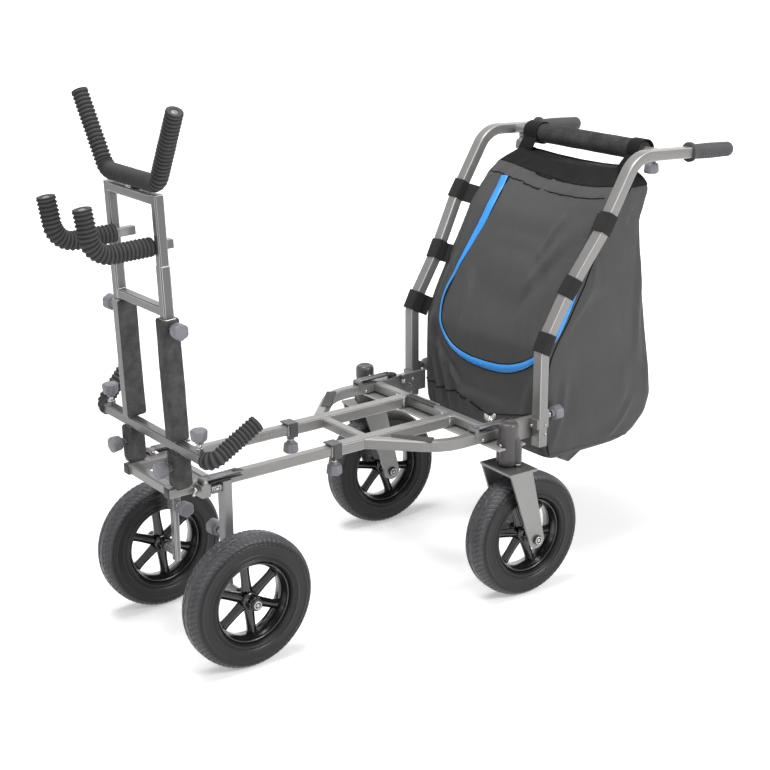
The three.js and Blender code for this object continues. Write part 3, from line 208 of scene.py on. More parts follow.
def joined(name, surfaces):
    """Several surfaces from skin_arrays as one mesh; each is turned outwards by its own signed volume."""
    points, quads, triangles, quad_uv, triangle_uv, offset = [], [], [], [], [], 0
    for flat, *faces in surfaces:
        four, three, four_uv, three_uv = outward(flat, *faces)
        points.append(flat)
        quads.append(four + offset)
        triangles.append(three + offset)
        quad_uv.append(four_uv.reshape(-1, 2))
        triangle_uv.append(three_uv.reshape(-1, 2))
        offset += len(flat)
    return mesh_piece(name, *map(np.concatenate, (points, quads, triangles, quad_uv + triangle_uv)))


def bent_route(corners, radius, spacing):
    """Straight runs joined by arcs, evenly spaced: at a corner the arc begins radius * tan(turn / 2) before it and
    turns about the point radius / cos(turn / 2) along the bisector."""
    corners = np.asarray(corners, float)
    runs = [corners[:1]]
    for before, corner, after in zip(corners, corners[1:], corners[2:]):
        a, b = unit(before - corner), unit(after - corner)
        turn = math.pi - math.acos(float(np.clip(a @ b, -1, 1)))
        if turn < 1e-3:
            continue
        reach = radius * math.tan(turn / 2)
        centre = corner + unit(a + b) * radius / math.cos(turn / 2)
        t = np.linspace(0, 1, 25)[:, None]
        start, end = corner + a * reach - centre, corner + b * reach - centre
        runs.append(centre + (np.sin((1 - t) * turn) * start + np.sin(t * turn) * end) / math.sin(turn))
    runs.append(corners[-1:])
    return even(np.concatenate(runs), spacing)


def arc_lengths(line):
    """Distance along a line from its start to each of its points."""
    return np.concatenate([[0.0], np.cumsum(np.linalg.norm(np.diff(line, axis=0), axis=1))])


def even(line, spacing):
    """A line of points spaced evenly by arc length, and the arc length at each."""
    line = line[np.concatenate([[True], np.diff(arc_lengths(line)) > 1e-9])]
    reach = arc_lengths(line)
    marks = np.linspace(0, reach[-1], max(2, math.ceil(reach[-1] / spacing)) + 1)
    return np.stack([np.interp(marks, reach, line[:, k]) for k in range(3)], 1), marks


def carried(route, profile, across, heading=None):
    """A profile of (p, q) pairs carried along a route: centre + p * side + q * out, where out is the given direction
    made square to the route's heading and side is square to both."""
    heading = unit(np.gradient(route, axis=0)) if heading is None else heading
    across = np.broadcast_to(np.asarray(across, float), route.shape)
    out = unit(across - heading * np.sum(across * heading, -1, keepdims=True))
    side = np.cross(out, heading)
    profile = np.broadcast_to(profile, (len(route),) + np.shape(profile)[-2:])
    return route[:, None] + profile[..., :1] * side[:, None] + profile[..., 1:] * out[:, None]


def circle(count):
    """Unit circle as (p, q) pairs."""
    angle = np.linspace(0, 2 * np.pi, count, endpoint=False)
    return np.stack([np.cos(angle), np.sin(angle)], 1)


def rounded_square(width, height, corner, per_corner=5):
    """Outline of a rectangle whose corners are quarter circles."""
    quarter = np.linspace(0, np.pi / 2, per_corner)
    arcs = []
    for turn, (sx, sy) in enumerate([(1, 1), (-1, 1), (-1, -1), (1, -1)]):
        middle = np.array([sx * (width / 2 - corner), sy * (height / 2 - corner)])
        angle = quarter + turn * np.pi / 2
        arcs.append(middle + corner * np.stack([np.cos(angle), np.sin(angle)], 1))
    return np.concatenate(arcs)


def ring_of(columns, first, second):
    """Directions spaced evenly round a circle: cos a * first + sin a * second."""
    ring = circle(columns)
    return ring[:, :1] * first + ring[:, 1:] * second


def round_part(centre, axle, profile, columns=24, closed=False, forward=None):
    """A profile of (radius, offset along the axle) in millimetres, turned about the axle: centre + r (cos a, sin a) +
    offset * axle. It runs from one end to the other, or closes on itself."""
    axle = unit(axle)
    if forward is None:
        forward = np.array([1.0, 0, 0]) if abs(axle[0]) < 0.9 else UP
    forward = unit(forward - axle * (forward @ axle))
    profile = np.asarray(profile, float) * MM
    ring = ring_of(columns, forward, np.cross(axle, forward))
    return skin_arrays(centre + profile[:, None, :1] * ring + profile[:, None, 1:] * axle, along=closed)


# Node materials


class Link:
    """A socket of a finish; sums, products and powers of links and numbers add Math nodes."""

    def __init__(self, finish, socket):
        self.finish, self.socket = finish, socket

    def maths(self, operation, first, second=0.0):
        return self.finish.node("ShaderNodeMath", {"operation": operation}, (first, second))

    def __add__(self, other):
        return self.maths("ADD", self, other)

    def __radd__(self, other):
        return self.maths("ADD", other, self)

    def __sub__(self, other):
        return self.maths("SUBTRACT", self, other)

    def __rsub__(self, other):
        return self.maths("SUBTRACT", other, self)

    def __mul__(self, other):
        return self.maths("MULTIPLY", self, other)

    def __rmul__(self, other):
        return self.maths("MULTIPLY", other, self)

    def __pow__(self, other):
        return self.maths("POWER", self, other)

    def __rpow__(self, other):
        return self.maths("POWER", other, self)

    def sine(self):
        return self.maths("SINE", self)

    def size(self):
        return self.maths("ABSOLUTE", self)

    def most(self, other):
        return self.maths("MAXIMUM", self, other)


class Finish:
    """A node material on one Principled shader. Fixed sockets hold plain values; links feed only what bakes."""

    def __init__(self, name, world=None, **fixed):
        self.material = world or bpy.data.materials.new(name)
        self.material.use_nodes = True
        self.tree = self.material.node_tree
        self.shader = self.tree.nodes["Background" if world else "Principled BSDF"]
        for socket, value in fixed.items():
            self.shader.inputs[socket.replace("_", " ")].default_value = value

    def node(self, kind, settings=None, inputs=(), output=0):
        """Adds a node: its settings first, then values or links for its sockets, given in order or by name."""
        made = self.tree.nodes.new(kind)
        for key, value in (settings or {}).items():
            if key == "stops":
                for index, (place, colour) in enumerate(value):
                    ramp = made.color_ramp
                    stop = ramp.elements[index] if index < len(ramp.elements) else ramp.elements.new(place)
                    stop.position, stop.color = place, colour
            else:
                setattr(made, key, value)
        pairs = inputs.items() if isinstance(inputs, dict) else enumerate(inputs)
        for socket, value in pairs:
            self.feed(made.inputs[socket], value)
        return Link(self, made.outputs[output])

    def feed(self, socket, value):
        """Joins a link to a socket, or sets the socket's own value."""
        if isinstance(value, Link):
            self.tree.links.new(value.socket, socket)
        elif value is not None:
            socket.default_value = value

    def place(self):
        """The piece's own coordinates in metres."""
        return self.node("ShaderNodeTexCoord", output="Object")

    def surface(self):
        """The piece's UV map."""
        return self.node("ShaderNodeUVMap", {"uv_map": "Surface"})

    def scaled(self, vector, scale):
        """Coordinates stretched along the axes."""
        return self.node("ShaderNodeMapping", None, {"Vector": vector, "Scale": scale})

    def parts(self, vector):
        """The three numbers of a vector."""
        outputs = self.node("ShaderNodeSeparateXYZ", None, (vector,)).socket.node.outputs
        return tuple(Link(self, outputs[k]) for k in range(3))

    def seen(self):
        """1 for rays that show the surroundings: from the camera, off a glossy surface or through a clear one."""
        rays = self.node("ShaderNodeLightPath").socket.node.outputs
        camera, glossy, clear = (Link(self, rays[f"Is {kind} Ray"]) for kind in ("Camera", "Glossy", "Transmission"))
        return camera.most(glossy).most(clear)

    def noise(self, vector, scale, detail=3.0, roughness=0.55):
        """Fractal noise between 0 and 1."""
        inputs = {"Vector": vector, "Scale": scale, "Detail": detail, "Roughness": roughness}
        return self.node("ShaderNodeTexNoise", None, inputs, "Fac")

    def mix(self, factor, first, second):
        """Colour between first and second."""
        return self.node("ShaderNodeMix", {"data_type": "RGBA"}, {0: factor, 6: first, 7: second}, 2)

    def ramp(self, value, low, high, first, second):
        """Number that runs from first at low to second at high, and stays there outside them."""
        inputs = {"Value": value, "From Min": low, "From Max": high, "To Min": first, "To Max": second}
        return self.node("ShaderNodeMapRange", {"clamp": True}, inputs)

    def bump(self, height, distance, strength=1.0, under=None):
        """A normal tilted by a height of so many metres, over another normal where one is given."""
        return self.node(
            "ShaderNodeBump", None, {"Height": height, "Distance": distance, "Strength": strength, "Normal": under}
        )

    def finish(self, colour=None, roughness=None, normal=None):
        """Feeds the shader's changing sockets and gives back the material."""
        for socket, value in (("Base Color", colour), ("Roughness", roughness), ("Normal", normal)):
            self.feed(self.shader.inputs[socket], value)
        return self.material


def linear(hexcode):
    """Linear colour of an sRGB hex code."""
    parts = [int(hexcode[k : k + 2], 16) / 255 for k in (0, 2, 4)]
    return tuple(p / 12.92 if p <= 0.04045 else ((p + 0.055) / 1.055) ** 2.4 for p in parts) + (1.0,)


def shade(colour, factor):
    """A colour made lighter or darker."""
    return tuple(min(1.0, c * factor) for c in colour[:3]) + (1.0,)


def satin_metal(name, colour, metallic, roughness, spread=0.06, ridge=False, lid=None):
    """Satin metallic lacquer: fine flake grain, faint clouding and an orange-peel surface. A ridge paints a highlight
    on the tube's four rounded edges, found by the surface's u; a lid is a height in metres above which the lacquer is
    darker."""
    made = Finish(name, Metallic=metallic, Coat_Weight=0.18, Coat_Roughness=0.22)
    place = made.place()
    cloud = made.noise(place, 9.0, 4.0)
    flake = made.noise(place, 1400.0, 2.0)
    tone = made.ramp(cloud * 0.7 + flake * 0.3, 0.35, 0.65, 0.0, 1.0)
    rough = made.ramp(cloud, 0.3, 0.7, roughness - spread, roughness + spread)
    normal = made.bump(made.noise(place, 420.0, 2.0), 0.00006, 0.5)
    base = made.mix(tone, shade(colour, 0.94), shade(colour, 1.06))
    # Painted highlight: the four rounded edges, picked out by the surface's u, are mixed towards a colour 2.1 times
    # lighter
    if ridge:
        u, _, _ = made.parts(made.surface())
        corner = (u.maths("FRACT", u * 4.0) * 6.0 - 2.5).size()
        base = made.mix(made.ramp(corner, 0.6, 1.2, 1.0, 0.0), base, shade(colour, 2.1))
    if lid:
        _, _, z = made.parts(place)
        base = made.mix(made.ramp(z, lid - 0.0003, lid, 0.0, 1.0), base, shade(colour, 0.42))
    return made.finish(base, rough, normal)


def plastic(name, colour, roughness, grain=0.0001, coat=0.0):
    """Moulded plastic: spark-eroded grain with faint flow marks."""
    made = Finish(name, Coat_Weight=coat, Coat_Roughness=0.12)
    place = made.place()
    flow = made.noise(place, 24.0, 3.0)
    rough = made.ramp(flow, 0.3, 0.7, roughness * 0.88, roughness * 1.12)
    normal = made.bump(made.noise(place, 900.0, 3.0), grain, 0.45)
    return made.finish(made.mix(flow, shade(colour, 0.9), shade(colour, 1.1)), rough, normal)


def cell_foam(name, colour):
    """Closed-cell foam: fine cells, scuffed lighter patches and a dull face."""
    made = Finish(name, Specular_IOR_Level=0.18)
    place = made.place()
    cells = made.node("ShaderNodeTexVoronoi", {"feature": "F1"}, {"Vector": place, "Scale": 1100.0}, "Distance")
    scuff = made.noise(place, 30.0, 5.0, 0.7)
    tone = made.ramp(scuff, 0.38, 0.66, 0.0, 1.0)
    rough = made.ramp(cells, 0.0, 0.6, 0.98, 0.82)
    normal = made.bump(cells, 0.00025, 0.5, made.bump(scuff, 0.0012, 0.35))
    return made.finish(made.mix(tone, shade(colour, 0.85), shade(colour, 1.6)), rough, normal)


def ribbed_finish(name, colour):
    """Foam whose tone and roughness follow the ribs, which the surface's v counts: painted shade in the grooves,
    painted highlight on the crests.
    """
    made = Finish(name, Specular_IOR_Level=0.16)
    place = made.place()
    _, v, _ = made.parts(made.surface())
    # Painted shade and highlight along the ribs: 0 in a groove, which is darkened, and 1 on a crest, which is lightened
    painted_rib_shading = (v * math.pi).sine().size() ** 1.3
    cells = made.noise(place, 800.0, 3.0)
    scuff = made.noise(place, 34.0, 5.0, 0.65)
    tone = made.ramp(painted_rib_shading * 0.8 + scuff * 0.3, 0.2, 1.05, 0.0, 1.0)
    rough = made.ramp(cells, 0.3, 0.7, 0.82, 0.96)
    normal = made.bump(cells, 0.0002, 0.5)
    return made.finish(made.mix(tone, shade(colour, 0.45), shade(colour, 1.7)), rough, normal)


def tyre_rubber(name, colour):
    """Solid tyre rubber: fine mould grain, dusty lighter bloom on the tread."""
    made = Finish(name, Specular_IOR_Level=0.3)
    place = made.place()
    bloom = made.noise(place, 18.0, 5.0, 0.6)
    grain = made.noise(place, 700.0, 3.0)
    rough = made.ramp(bloom, 0.3, 0.7, 0.3, 0.42)
    tone = made.ramp(bloom * 0.75 + grain * 0.25, 0.35, 0.7, 0.0, 1.0)
    normal = made.bump(grain, 0.00012, 0.5)
    wall = made.mix(tone, shade(colour, 0.38), shade(colour, 0.62))
    _, v, _ = made.parts(made.surface())
    tread = made.ramp((v * (2 * math.pi / TYRE_LENGTHS[1])).sine(), 0.56, 0.72, 0.0, 1.0)
    return made.finish(made.mix(tread, wall, made.mix(tone, shade(colour, 1.8), shade(colour, 3.2))), rough, normal)


def woven_cloth(name, colour, sheen=0.06, pitch=0.0011, shine=0.24):
    """Coated plain weave on the cloth's own UV in metres: warp and weft as two crossed sines, with slubs and
    clouding."""
    made = Finish(name, Sheen_Weight=sheen, Sheen_Roughness=0.45, Specular_IOR_Level=shine)
    u, v, _ = made.parts(made.surface())
    place = made.place()
    turns = 2 * math.pi / pitch
    warp, weft = (u * turns).sine(), (v * turns).sine()
    weave = warp * weft * 0.5 + 0.5
    cloud = made.noise(place, 7.0, 5.0, 0.6)
    crease = made.noise(made.scaled(place, (1.0, 1.0, 0.45)), 26.0, 4.0, 0.6)
    tone = made.ramp(cloud * 0.8 + weave * 0.2, 0.3, 0.72, 0.0, 1.0)
    rough = made.ramp(crease, 0.3, 0.7, 0.56, 0.72)
    under = made.bump(crease, 0.0022, 0.5)
    normal = made.bump(weave, 0.00016, 0.6, under)
    return made.finish(made.mix(tone, shade(colour, 0.9), shade(colour, 1.1)), rough, normal)


def webbing(name, colour, pitch=0.0022):
    """Strap webbing: ribs across its width on its own UV in metres, with a fine twill between them."""
    made = Finish(name, Sheen_Weight=0.06, Sheen_Roughness=0.5, Specular_IOR_Level=0.2)
    u, v, _ = made.parts(made.surface())
    turns = 2 * math.pi / pitch
    ribs = (v * turns).sine() * 0.5 + 0.5
    twill = ((u + v) * (turns * 1.7)).sine() * 0.5 + 0.5
    place = made.place()
    cloud = made.noise(place, 40.0, 4.0)
    tone = made.ramp(cloud * 0.6 + ribs * 0.4, 0.25, 0.75, 0.0, 1.0)
    rough = made.ramp(cloud, 0.3, 0.7, 0.7, 0.85)
    normal = made.bump(ribs * 0.7 + twill * 0.3, 0.0004, 0.6)
    return made.finish(made.mix(tone, shade(colour, 0.82), shade(colour, 1.15)), rough, normal)


def piping_finish(name, colour):
    """Coated zip piping: a fine rib along it and a soft shine."""
    made = Finish(name, Coat_Weight=0.15, Coat_Roughness=0.3)
    _, v, _ = made.parts(made.surface())
    ribs = (v * 2600.0).sine() * 0.5 + 0.5
    cloud = made.noise(made.place(), 30.0, 3.0)
    rough = made.ramp(cloud, 0.3, 0.7, 0.38, 0.5)
    tone = made.mix(cloud, shade(colour, 0.88), shade(colour, 1.12))
    return made.finish(tone, rough, made.bump(ribs, 0.0002, 0.4))


def bright_steel(name, colour=(0.4, 0.4, 0.395, 1.0), roughness=0.3):
    """Zinc-plated steel with fine turning lines."""
    made = Finish(name, Metallic=1.0)
    grain = made.noise(made.place(), 260.0, 3.0)
    rough = made.ramp(grain, 0.3, 0.7, roughness * 0.7, roughness * 1.3)
    return made.finish(made.mix(grain, shade(colour, 0.88), shade(colour, 1.1)), rough, made.bump(grain, 0.00005, 0.4))


# Settings of the panel


def metres(name, description, default):
    """A length of the panel."""
    return FloatProperty(name=name, description=description, default=default, unit="LENGTH", precision=4)


def tint(name, description, hexcode):
    """A colour of the panel, given as an sRGB hex code."""
    return FloatVectorProperty(
        name=name, description=description, default=linear(hexcode), size=4, subtype="COLOR", min=0.0, max=1.0
    )


class TrolleyColours(PropertyGroup):
    """Colours of the trolley's finishes."""

    tube: tint("Tubes", "Satin lacquer of the frame tubes", "7b7a79")
    rest: tint("Rest", "Satin lacquer of the upright rest", "575656")
    plate: tint("Plates", "Satin lacquer of the forks and the caster beam", "80807f")
    latch: tint("Latches", "Coating of the latch levers", "6f6e71")
    clamp: tint("Clamps", "Dark coating of the rail clamps", "3f3f41")
    cap: tint("Housings", "Plastic of the swivel housings", "413e3e")
    knob: tint("Knobs", "Plastic of the clamping knobs", "727177")
    foam: tint("Foam", "Foam of the rest and the sleeves", "424243")
    tyre: tint("Tyres", "Rubber of the tyres", "2b2a2c")
    rim: tint("Rims", "Glossy plastic of the rims", "0d0d0e")
    grip: tint("Grips", "Rubber of the grips", "3c3c3e")
    cloth: tint("Bag cloth", "Coated cloth of the bag", "444445")
    band: tint("Bag band", "Black cloth of the bag's upper band", "171718")
    strap: tint("Straps", "Webbing that ties the bag to the handles", "202021")
    piping: tint("Piping", "Coloured piping of the zip", "2f8ddb")
    floor: tint("Floor", "Floor and backdrop", "fafafa")


class TrolleySizes(PropertyGroup):
    """Sizes of what is added to the trolley."""

    rib_pitch: metres("Rib pitch", "Distance between the ribs of the foam arms", 0.0078)
    rib_depth: metres("Rib depth", "Depth of the grooves between the ribs", 0.0029)
    tread_depth: metres("Tread depth", "Depth of the tyre tread", 0.0022)
    edge_round: metres("Edge rounding", "Rounding of the welded frame's edges", 0.0011)
    tube_corner: metres("Tube corner", "Corner radius of the handle tubes", 0.0032)


# The materials of the finishes step, by the names that the pieces ask for
finishes = {}


def settings():
    """The panel's colours and sizes."""
    scene = bpy.context.scene
    return scene.trolley_colours, scene.trolley_sizes


def wear(piece, finish):
    """Gives a piece one finish."""
    piece.data.materials.clear()
    piece.data.materials.append(finishes[finish])
    return piece


def seat(name, surfaces, body, finish, stands_for=()):
    """Makes a new piece from its surfaces, with its finish, the body that carries it and the nodes it stands for."""
    piece = wear(joined(name, surfaces), finish)
    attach(piece, body)
    if stands_for:
        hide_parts(*stands_for)
    return piece


class TROLLEY_OT_finishes(Operator):
    """Makes the node materials from the colours of the panel"""

    bl_idname = "trolley.finishes"
    bl_label = "Finishes"

    def execute(self, context):
        colours, _ = settings()
        finishes.update(
            tube=satin_metal("satin_tube", colours.tube, 0.3, 0.33),
            # The handle tubes' lacquer with a painted highlight on their four rounded edges
            handle=satin_metal("handle_tube", colours.tube, 0.3, 0.33, ridge=True),
            rest=satin_metal("rest_tube", colours.rest, 0.3, 0.33),
            # A painted highlight: the tube lacquer made 2.1 times lighter, for the frame's rounded edges
            edge=satin_metal("tube_edge_painted_highlight", shade(colours.tube, 2.1), 0.3, 0.3),
            plate=satin_metal("satin_plate", shade(colours.plate, 1.3), 0.4, 0.38),
            fork=satin_metal("fork_plate", colours.plate, 0.4, 0.38, lid=0.2818),
            latch=satin_metal("grey_latch", colours.latch, 0.45, 0.36),
            clamp=satin_metal("dark_clamp", colours.clamp, 0.3, 0.42),
            cap=plastic("housing_plastic", colours.cap, 0.42, coat=0.1),
            knob=plastic("knob_plastic", colours.knob, 0.46, 0.00012),
            foam=cell_foam("cell_foam", colours.foam),
            pad=cell_foam("pad_foam", shade(colours.foam, 0.6)),
            ribbed=ribbed_finish("ribbed_foam", shade(colours.foam, 0.82)),
            tyre=tyre_rubber("tyre_rubber", colours.tyre),
            rim=plastic("rim_plastic", colours.rim, 0.2, 0.00003, coat=0.4),
            grip=plastic("grip_rubber", colours.grip, 0.62, 0.0002),
            plate_rubber=plastic("plate_rubber", shade(colours.clamp, 0.62), 0.6, 0.0002),
            cloth=woven_cloth("bag_cloth", colours.cloth),
            band=woven_cloth("band_cloth", colours.band, 0.01, shine=0.1),
            strap=webbing("strap_webbing", colours.strap),
            piping=piping_finish("zip_piping", colours.piping),
            steel=bright_steel("zinc_steel"),
            plug=plastic("tube_plug", linear("1c1c1d"), 0.5),
        )
        return {"FINISHED"}


class TROLLEY_OT_stage(Operator):
    """Sets the camera, the pale floor and the soft lamps"""

    bl_idname = "trolley.stage"
    bl_label = "Stage"

    def execute(self, context):
        scene = context.scene
        scene.view_settings.view_transform = "Standard"
        drop = math.cos(PITCH)
        forward = Vector((math.cos(HEADING) * drop, math.sin(HEADING) * drop, -math.sin(PITCH)))
        lens = bpy.data.cameras.new("photo_camera")
        lens.sensor_width = SENSOR_WIDTH
        lens.lens = SENSOR_WIDTH * FOCAL_LENGTH / PICTURE_WIDTH
        lens.clip_end = 50.0
        camera = bpy.data.objects.new("photo_camera", lens)
        camera.location = at(CAMERA_PLACE)
        camera.rotation_mode = "QUATERNION"
        camera.rotation_quaternion = Quaternion(forward, ROLL) @ forward.to_track_quat("-Z", "Y")
        scene.collection.objects.link(camera)
        scene.camera = camera
        self.floor()
        self.lamps(scene)
        return {"FINISHED"}

    def floor(self):
        """A flat floor that turns up into a wall behind the trolley."""
        run = np.linspace(-1, 1, 41)
        rise = np.linspace(0, 1, 61)
        depth = np.interp(rise, [0, 0.55, 1], [-7.0, 6.0, 8.0])
        height = 5.0 * smooth(0.55, 1.0, rise) ** 1.5
        away = np.array([math.cos(HEADING), math.sin(HEADING), 0.0])
        aside = np.array([away[1], -away[0], 0.0])
        points = run[None, :, None] * 9.0 * aside + depth[:, None, None] * away + height[:, None, None] * UP
        piece = mesh_piece("floor", *skin_arrays(points, around=False))
        made = Finish("pale_floor", Roughness=0.9, Specular_IOR_Level=0.1)
        colours, _ = settings()
        place = made.place()
        colour = made.mix(made.noise(place, 60.0, 2.0), shade(colours.floor, 0.985), colours.floor)
        material = made.finish(colour)
        distance = made.node("ShaderNodeVectorMath", {"operation": "LENGTH"}, (place,), "Value")
        far = made.ramp(distance, 1.2, 2.6, 0.3, 1.0)
        glow = made.node("ShaderNodeEmission", None, {"Color": (1, 1, 1, 1), "Strength": far})
        lit = Link(made, made.shader.outputs[0])
        both = made.node("ShaderNodeAddShader", None, (lit, glow))
        chosen = made.node("ShaderNodeMixShader", None, (made.seen(), lit, both))
        made.tree.links.new(chosen.socket, made.tree.nodes["Material Output"].inputs["Surface"])
        piece.data.materials.append(material)

    def lamps(self, scene):
        """A white room, brighter to the eye than to the trolley, and three square lamps that look at the trolley: place
        and side in metres, power in watts."""
        scene.world = bpy.data.worlds.new("soft_room")
        room = Finish("soft_room", scene.world, Color=(1, 1, 1, 1))
        room.feed(room.shader.inputs["Strength"], room.seen() * 0.68 + 0.32)
        for name, place, size, power in (
            ("key_lamp", (1.1, -3.5, 2.7), 1.6, 122.0),
            ("fill_lamp", (-3.4, -0.9, 1.7), 2.0, 22.0),
            ("top_lamp", (-0.6, 0.2, 3.8), 1.8, 116.0),
        ):
            data = bpy.data.lights.new(name, "AREA")
            data.size, data.energy = size, power
            lamp = bpy.data.objects.new(name, data)
            lamp.location = place
            aim = Vector((0.1, 0.0, 0.4)) - Vector(place)
            lamp.rotation_mode = "QUATERNION"
            lamp.rotation_quaternion = aim.to_track_quat("-Z", "Y")
            scene.collection.objects.link(lamp)


class TROLLEY_OT_frame_finish(Operator):
    """Gives the welded frame pieces their lacquer, rounds their edges and paints a highlight on the rounding"""

    bl_idname = "trolley.frame_finish"
    bl_label = "Frame finish"

    looks = {
        "tube": ("front_frame", "rear_frame", "outer_member", "front_leg", "handle_bar"),
        "rest": ("butt_bar", "rest_frame", "post"),
        "plate": ("caster_beam",),
        "fork": ("caster_fork",),
        "latch": ("front_latch", "rear_latch"),
        "clamp": ("rail_clamp",),
    }

    def execute(self, context):
        _, sizes = settings()
        for name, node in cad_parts.items():
            stem = name.removesuffix("_left").removesuffix("_right")
            for finish, stems in self.looks.items():
                if stem in stems:
                    wear(node, finish)
                    # The lighter edge material is a painted highlight on the rounded edges
                    if finish in ("tube", "rest", "plate", "fork"):
                        node.data.materials.append(finishes["edge"])
                    self.soften(node, sizes.edge_round)
        return {"FINISHED"}

    def soften(self, node, width):
        """Welds the loose triangles, then rounds the sharp edges and gives the rounding the last material, a painted
        highlight.
        """
        weld = node.modifiers.new("weld", "WELD")
        weld.merge_threshold = 0.00001
        bevel = node.modifiers.new("edges", "BEVEL")
        bevel.width = width
        bevel.segments = 2
        # The rounded edges take the last material, the painted highlight
        bevel.material = len(node.data.materials) - 1
        bevel.limit_method = "ANGLE"
        bevel.angle_limit = math.radians(35)


# Wheels

# Each wheel's heading in degrees, the body that it turns with, and how far its spokes are turned, in degrees
WHEELS = {
    "front_left": (0.0, "front_wheel_left", -5.0),
    "front_right": (0.0, "front_wheel_right", -6.0),
    "caster_left": (-2.3, "caster_wheel_left", -20.0),
    "caster_right": (-4.0, "caster_wheel_right", -18.0),
}


def wheel_place(key):
    """Middle of a wheel, its axle direction and its forward direction."""
    kind, side = key.split("_")
    turn = math.radians(WHEELS[key][0])
    axle = np.array([-math.sin(turn), math.cos(turn), 0.0])
    forward = np.array([math.cos(turn), math.sin(turn), 0.0])
    middle = box_middle(f"{kind}_tyre_{side}")
    middle[2] = WHEEL_RADIUS * MM
    return middle, axle, forward


class TROLLEY_OT_tyres(Operator):
    """Makes the four solid tyres with their tread"""

    bl_idname = "trolley.tyres"
    bl_label = "Tyres"

    def execute(self, context):
        _, sizes = settings()
        for key, (_, body, _) in WHEELS.items():
            kind, side = key.split("_")
            surface = self.tyre(*wheel_place(key), sizes.tread_depth)
            seat(f"tyre_{key}", [surface], body, "tyre", [f"{kind}_tyre_{side}"])
        return {"FINISHED"}

    def tyre(self, middle, axle, forward, depth):
        """A rounded-square section |w/29|^n + |h/26|^n = 1 about radius 104 mm, turned about the axle. The tread is two
        zigzag grooves with slanted cuts from them to the shoulders; a raised ring runs round each sidewall."""
        columns, rows, blocks = 560, 156, 72
        t = np.linspace(0, 2 * np.pi, 6001)
        power = np.where(np.sin(t) > 0, 3.0, 6.0)
        w, h = 0.029 * signed_power(np.cos(t), 2 / power), 0.026 * signed_power(np.sin(t), 2 / power)
        reach = arc_lengths(np.stack([w, h], 1))
        marks = np.linspace(0, reach[-1], rows, endpoint=False)
        w, h = np.interp(marks, reach, w), np.interp(marks, reach, h)
        radius = 0.104 + h
        edge = np.abs(w) > 0.012
        ring = 2.2 * np.exp(-(((radius - 0.0835) / 0.0022) ** 2)) - 2.6 * np.exp(-(((radius - 0.0888) / 0.0018) ** 2))
        steps = -1.5 * smooth(0.0945, 0.0965, radius) * (1 - smooth(0.1085, 0.1115, radius))
        shoulder = -1.8 * np.exp(-(((radius - 0.1165) / 0.0013) ** 2))
        w = w + np.sign(w) * edge * MM * (ring + steps + shoulder)
        phase = np.linspace(0, blocks, columns, endpoint=False)
        line = 0.0052 + 0.0072 * np.abs((phase * 0.5) % 1.0 - 0.5)
        across = np.abs(w)[:, None]
        groove = 1 - smooth(0.0006, 0.0018, np.abs(across - line))
        slant = (phase + np.sign(w)[:, None] * 0.25 + across / 0.016) % 1.0
        cut = smooth(0.0, 0.1, slant) * (1 - smooth(0.2, 0.3, slant)) * smooth(0.0, 0.0015, across - line)
        rib = 1 - smooth(0.0004, 0.0012, np.abs(across - 0.0165))
        on_tread = smooth(0.111, 0.117, radius)[:, None]
        pattern = np.maximum(np.maximum(groove, cut), rib * 0.7) * on_tread
        lowered = radius[:, None] - depth * pattern
        points = middle + lowered[..., None] * ring_of(columns, forward, UP) + w[:, None, None] * axle
        return skin_arrays(points, along=True, size=TYRE_LENGTHS)


class TROLLEY_OT_rims(Operator):
    """Makes the four glossy rims with six ribbed spokes"""

    bl_idname = "trolley.rims"
    bl_label = "Rims"

    def execute(self, context):
        for key, (_, body, turn) in WHEELS.items():
            kind, side = key.split("_")
            parts = self.rim(*wheel_place(key), math.radians(turn))
            seat(f"rim_{key}", parts, body, "rim", [f"{kind}_rim_{side}"])
        return {"FINISHED"}

    def rim(self, middle, axle, forward, turn):
        """A stepped ring and a stepped hub turned about the axle, with six spokes between them."""
        ring = [
            (77.4, 0.0), (77.4, 20.5), (76.2, 21.6), (74.6, 21.4), (73.6, 19.8),
            (73.0, 16.0), (71.4, 14.6), (70.6, 10.0), (69.2, 8.6), (69.0, 0.0),
        ]
        hub = [
            (6.6, 28.4), (11.4, 28.4), (12.4, 27.8), (12.8, 26.6), (12.9, 22.0), (11.9, 21.4), (12.0, 17.5),
            (13.0, 16.9), (13.4, 12.0), (15.0, 11.4), (16.6, 10.5), (17.0, 9.0), (17.0, 0.0),
        ]
        ring += [(r, -w) for r, w in ring[-2:0:-1]]
        hub += [(r, -w) for r, w in hub[-2::-1]] + [(6.6, -28.0), (6.6, 28.0)]
        parts = [round_part(middle, axle, loop, columns, True, forward) for loop, columns in ((ring, 96), (hub, 40))]
        for spoke in range(6):
            angle = math.pi / 2 - turn + spoke * math.pi / 3
            away = math.cos(angle) * forward + math.sin(angle) * UP
            aside = -math.sin(angle) * forward + math.cos(angle) * UP
            parts.append(self.spoke(middle, away, aside, axle))
        return parts

    def spoke(self, middle, away, aside, axle):
        """A cross-shaped section, mirrored from one quarter and carried from the hub to the ring; both blades narrow on
        the way out."""
        along = np.linspace(0.014, 0.0705, 12)
        share = (along - along[0]) / (along[-1] - along[0])
        flange = (8.8 - 1.4 * share + 1.6 * (1 - share) ** 4 + 3.0 * share**8) * MM
        web = (9.0 - 2.2 * share + 1.5 * share**6) * MM
        half, inner_x, inner_y = (np.full_like(share, size * MM) for size in (3.2, 3.84, 3.38))
        quarter = np.stack([np.stack(pair, -1) for pair in ((flange, half), (inner_x, inner_y), (half, web))], 1)
        back = quarter[:, ::-1]
        profile = np.concatenate([quarter, back * (-1, 1), -quarter, back * (1, -1)], 1)
        return skin_arrays(middle + along[:, None, None] * away + profile[..., :1] * aside + profile[..., 1:] * axle)


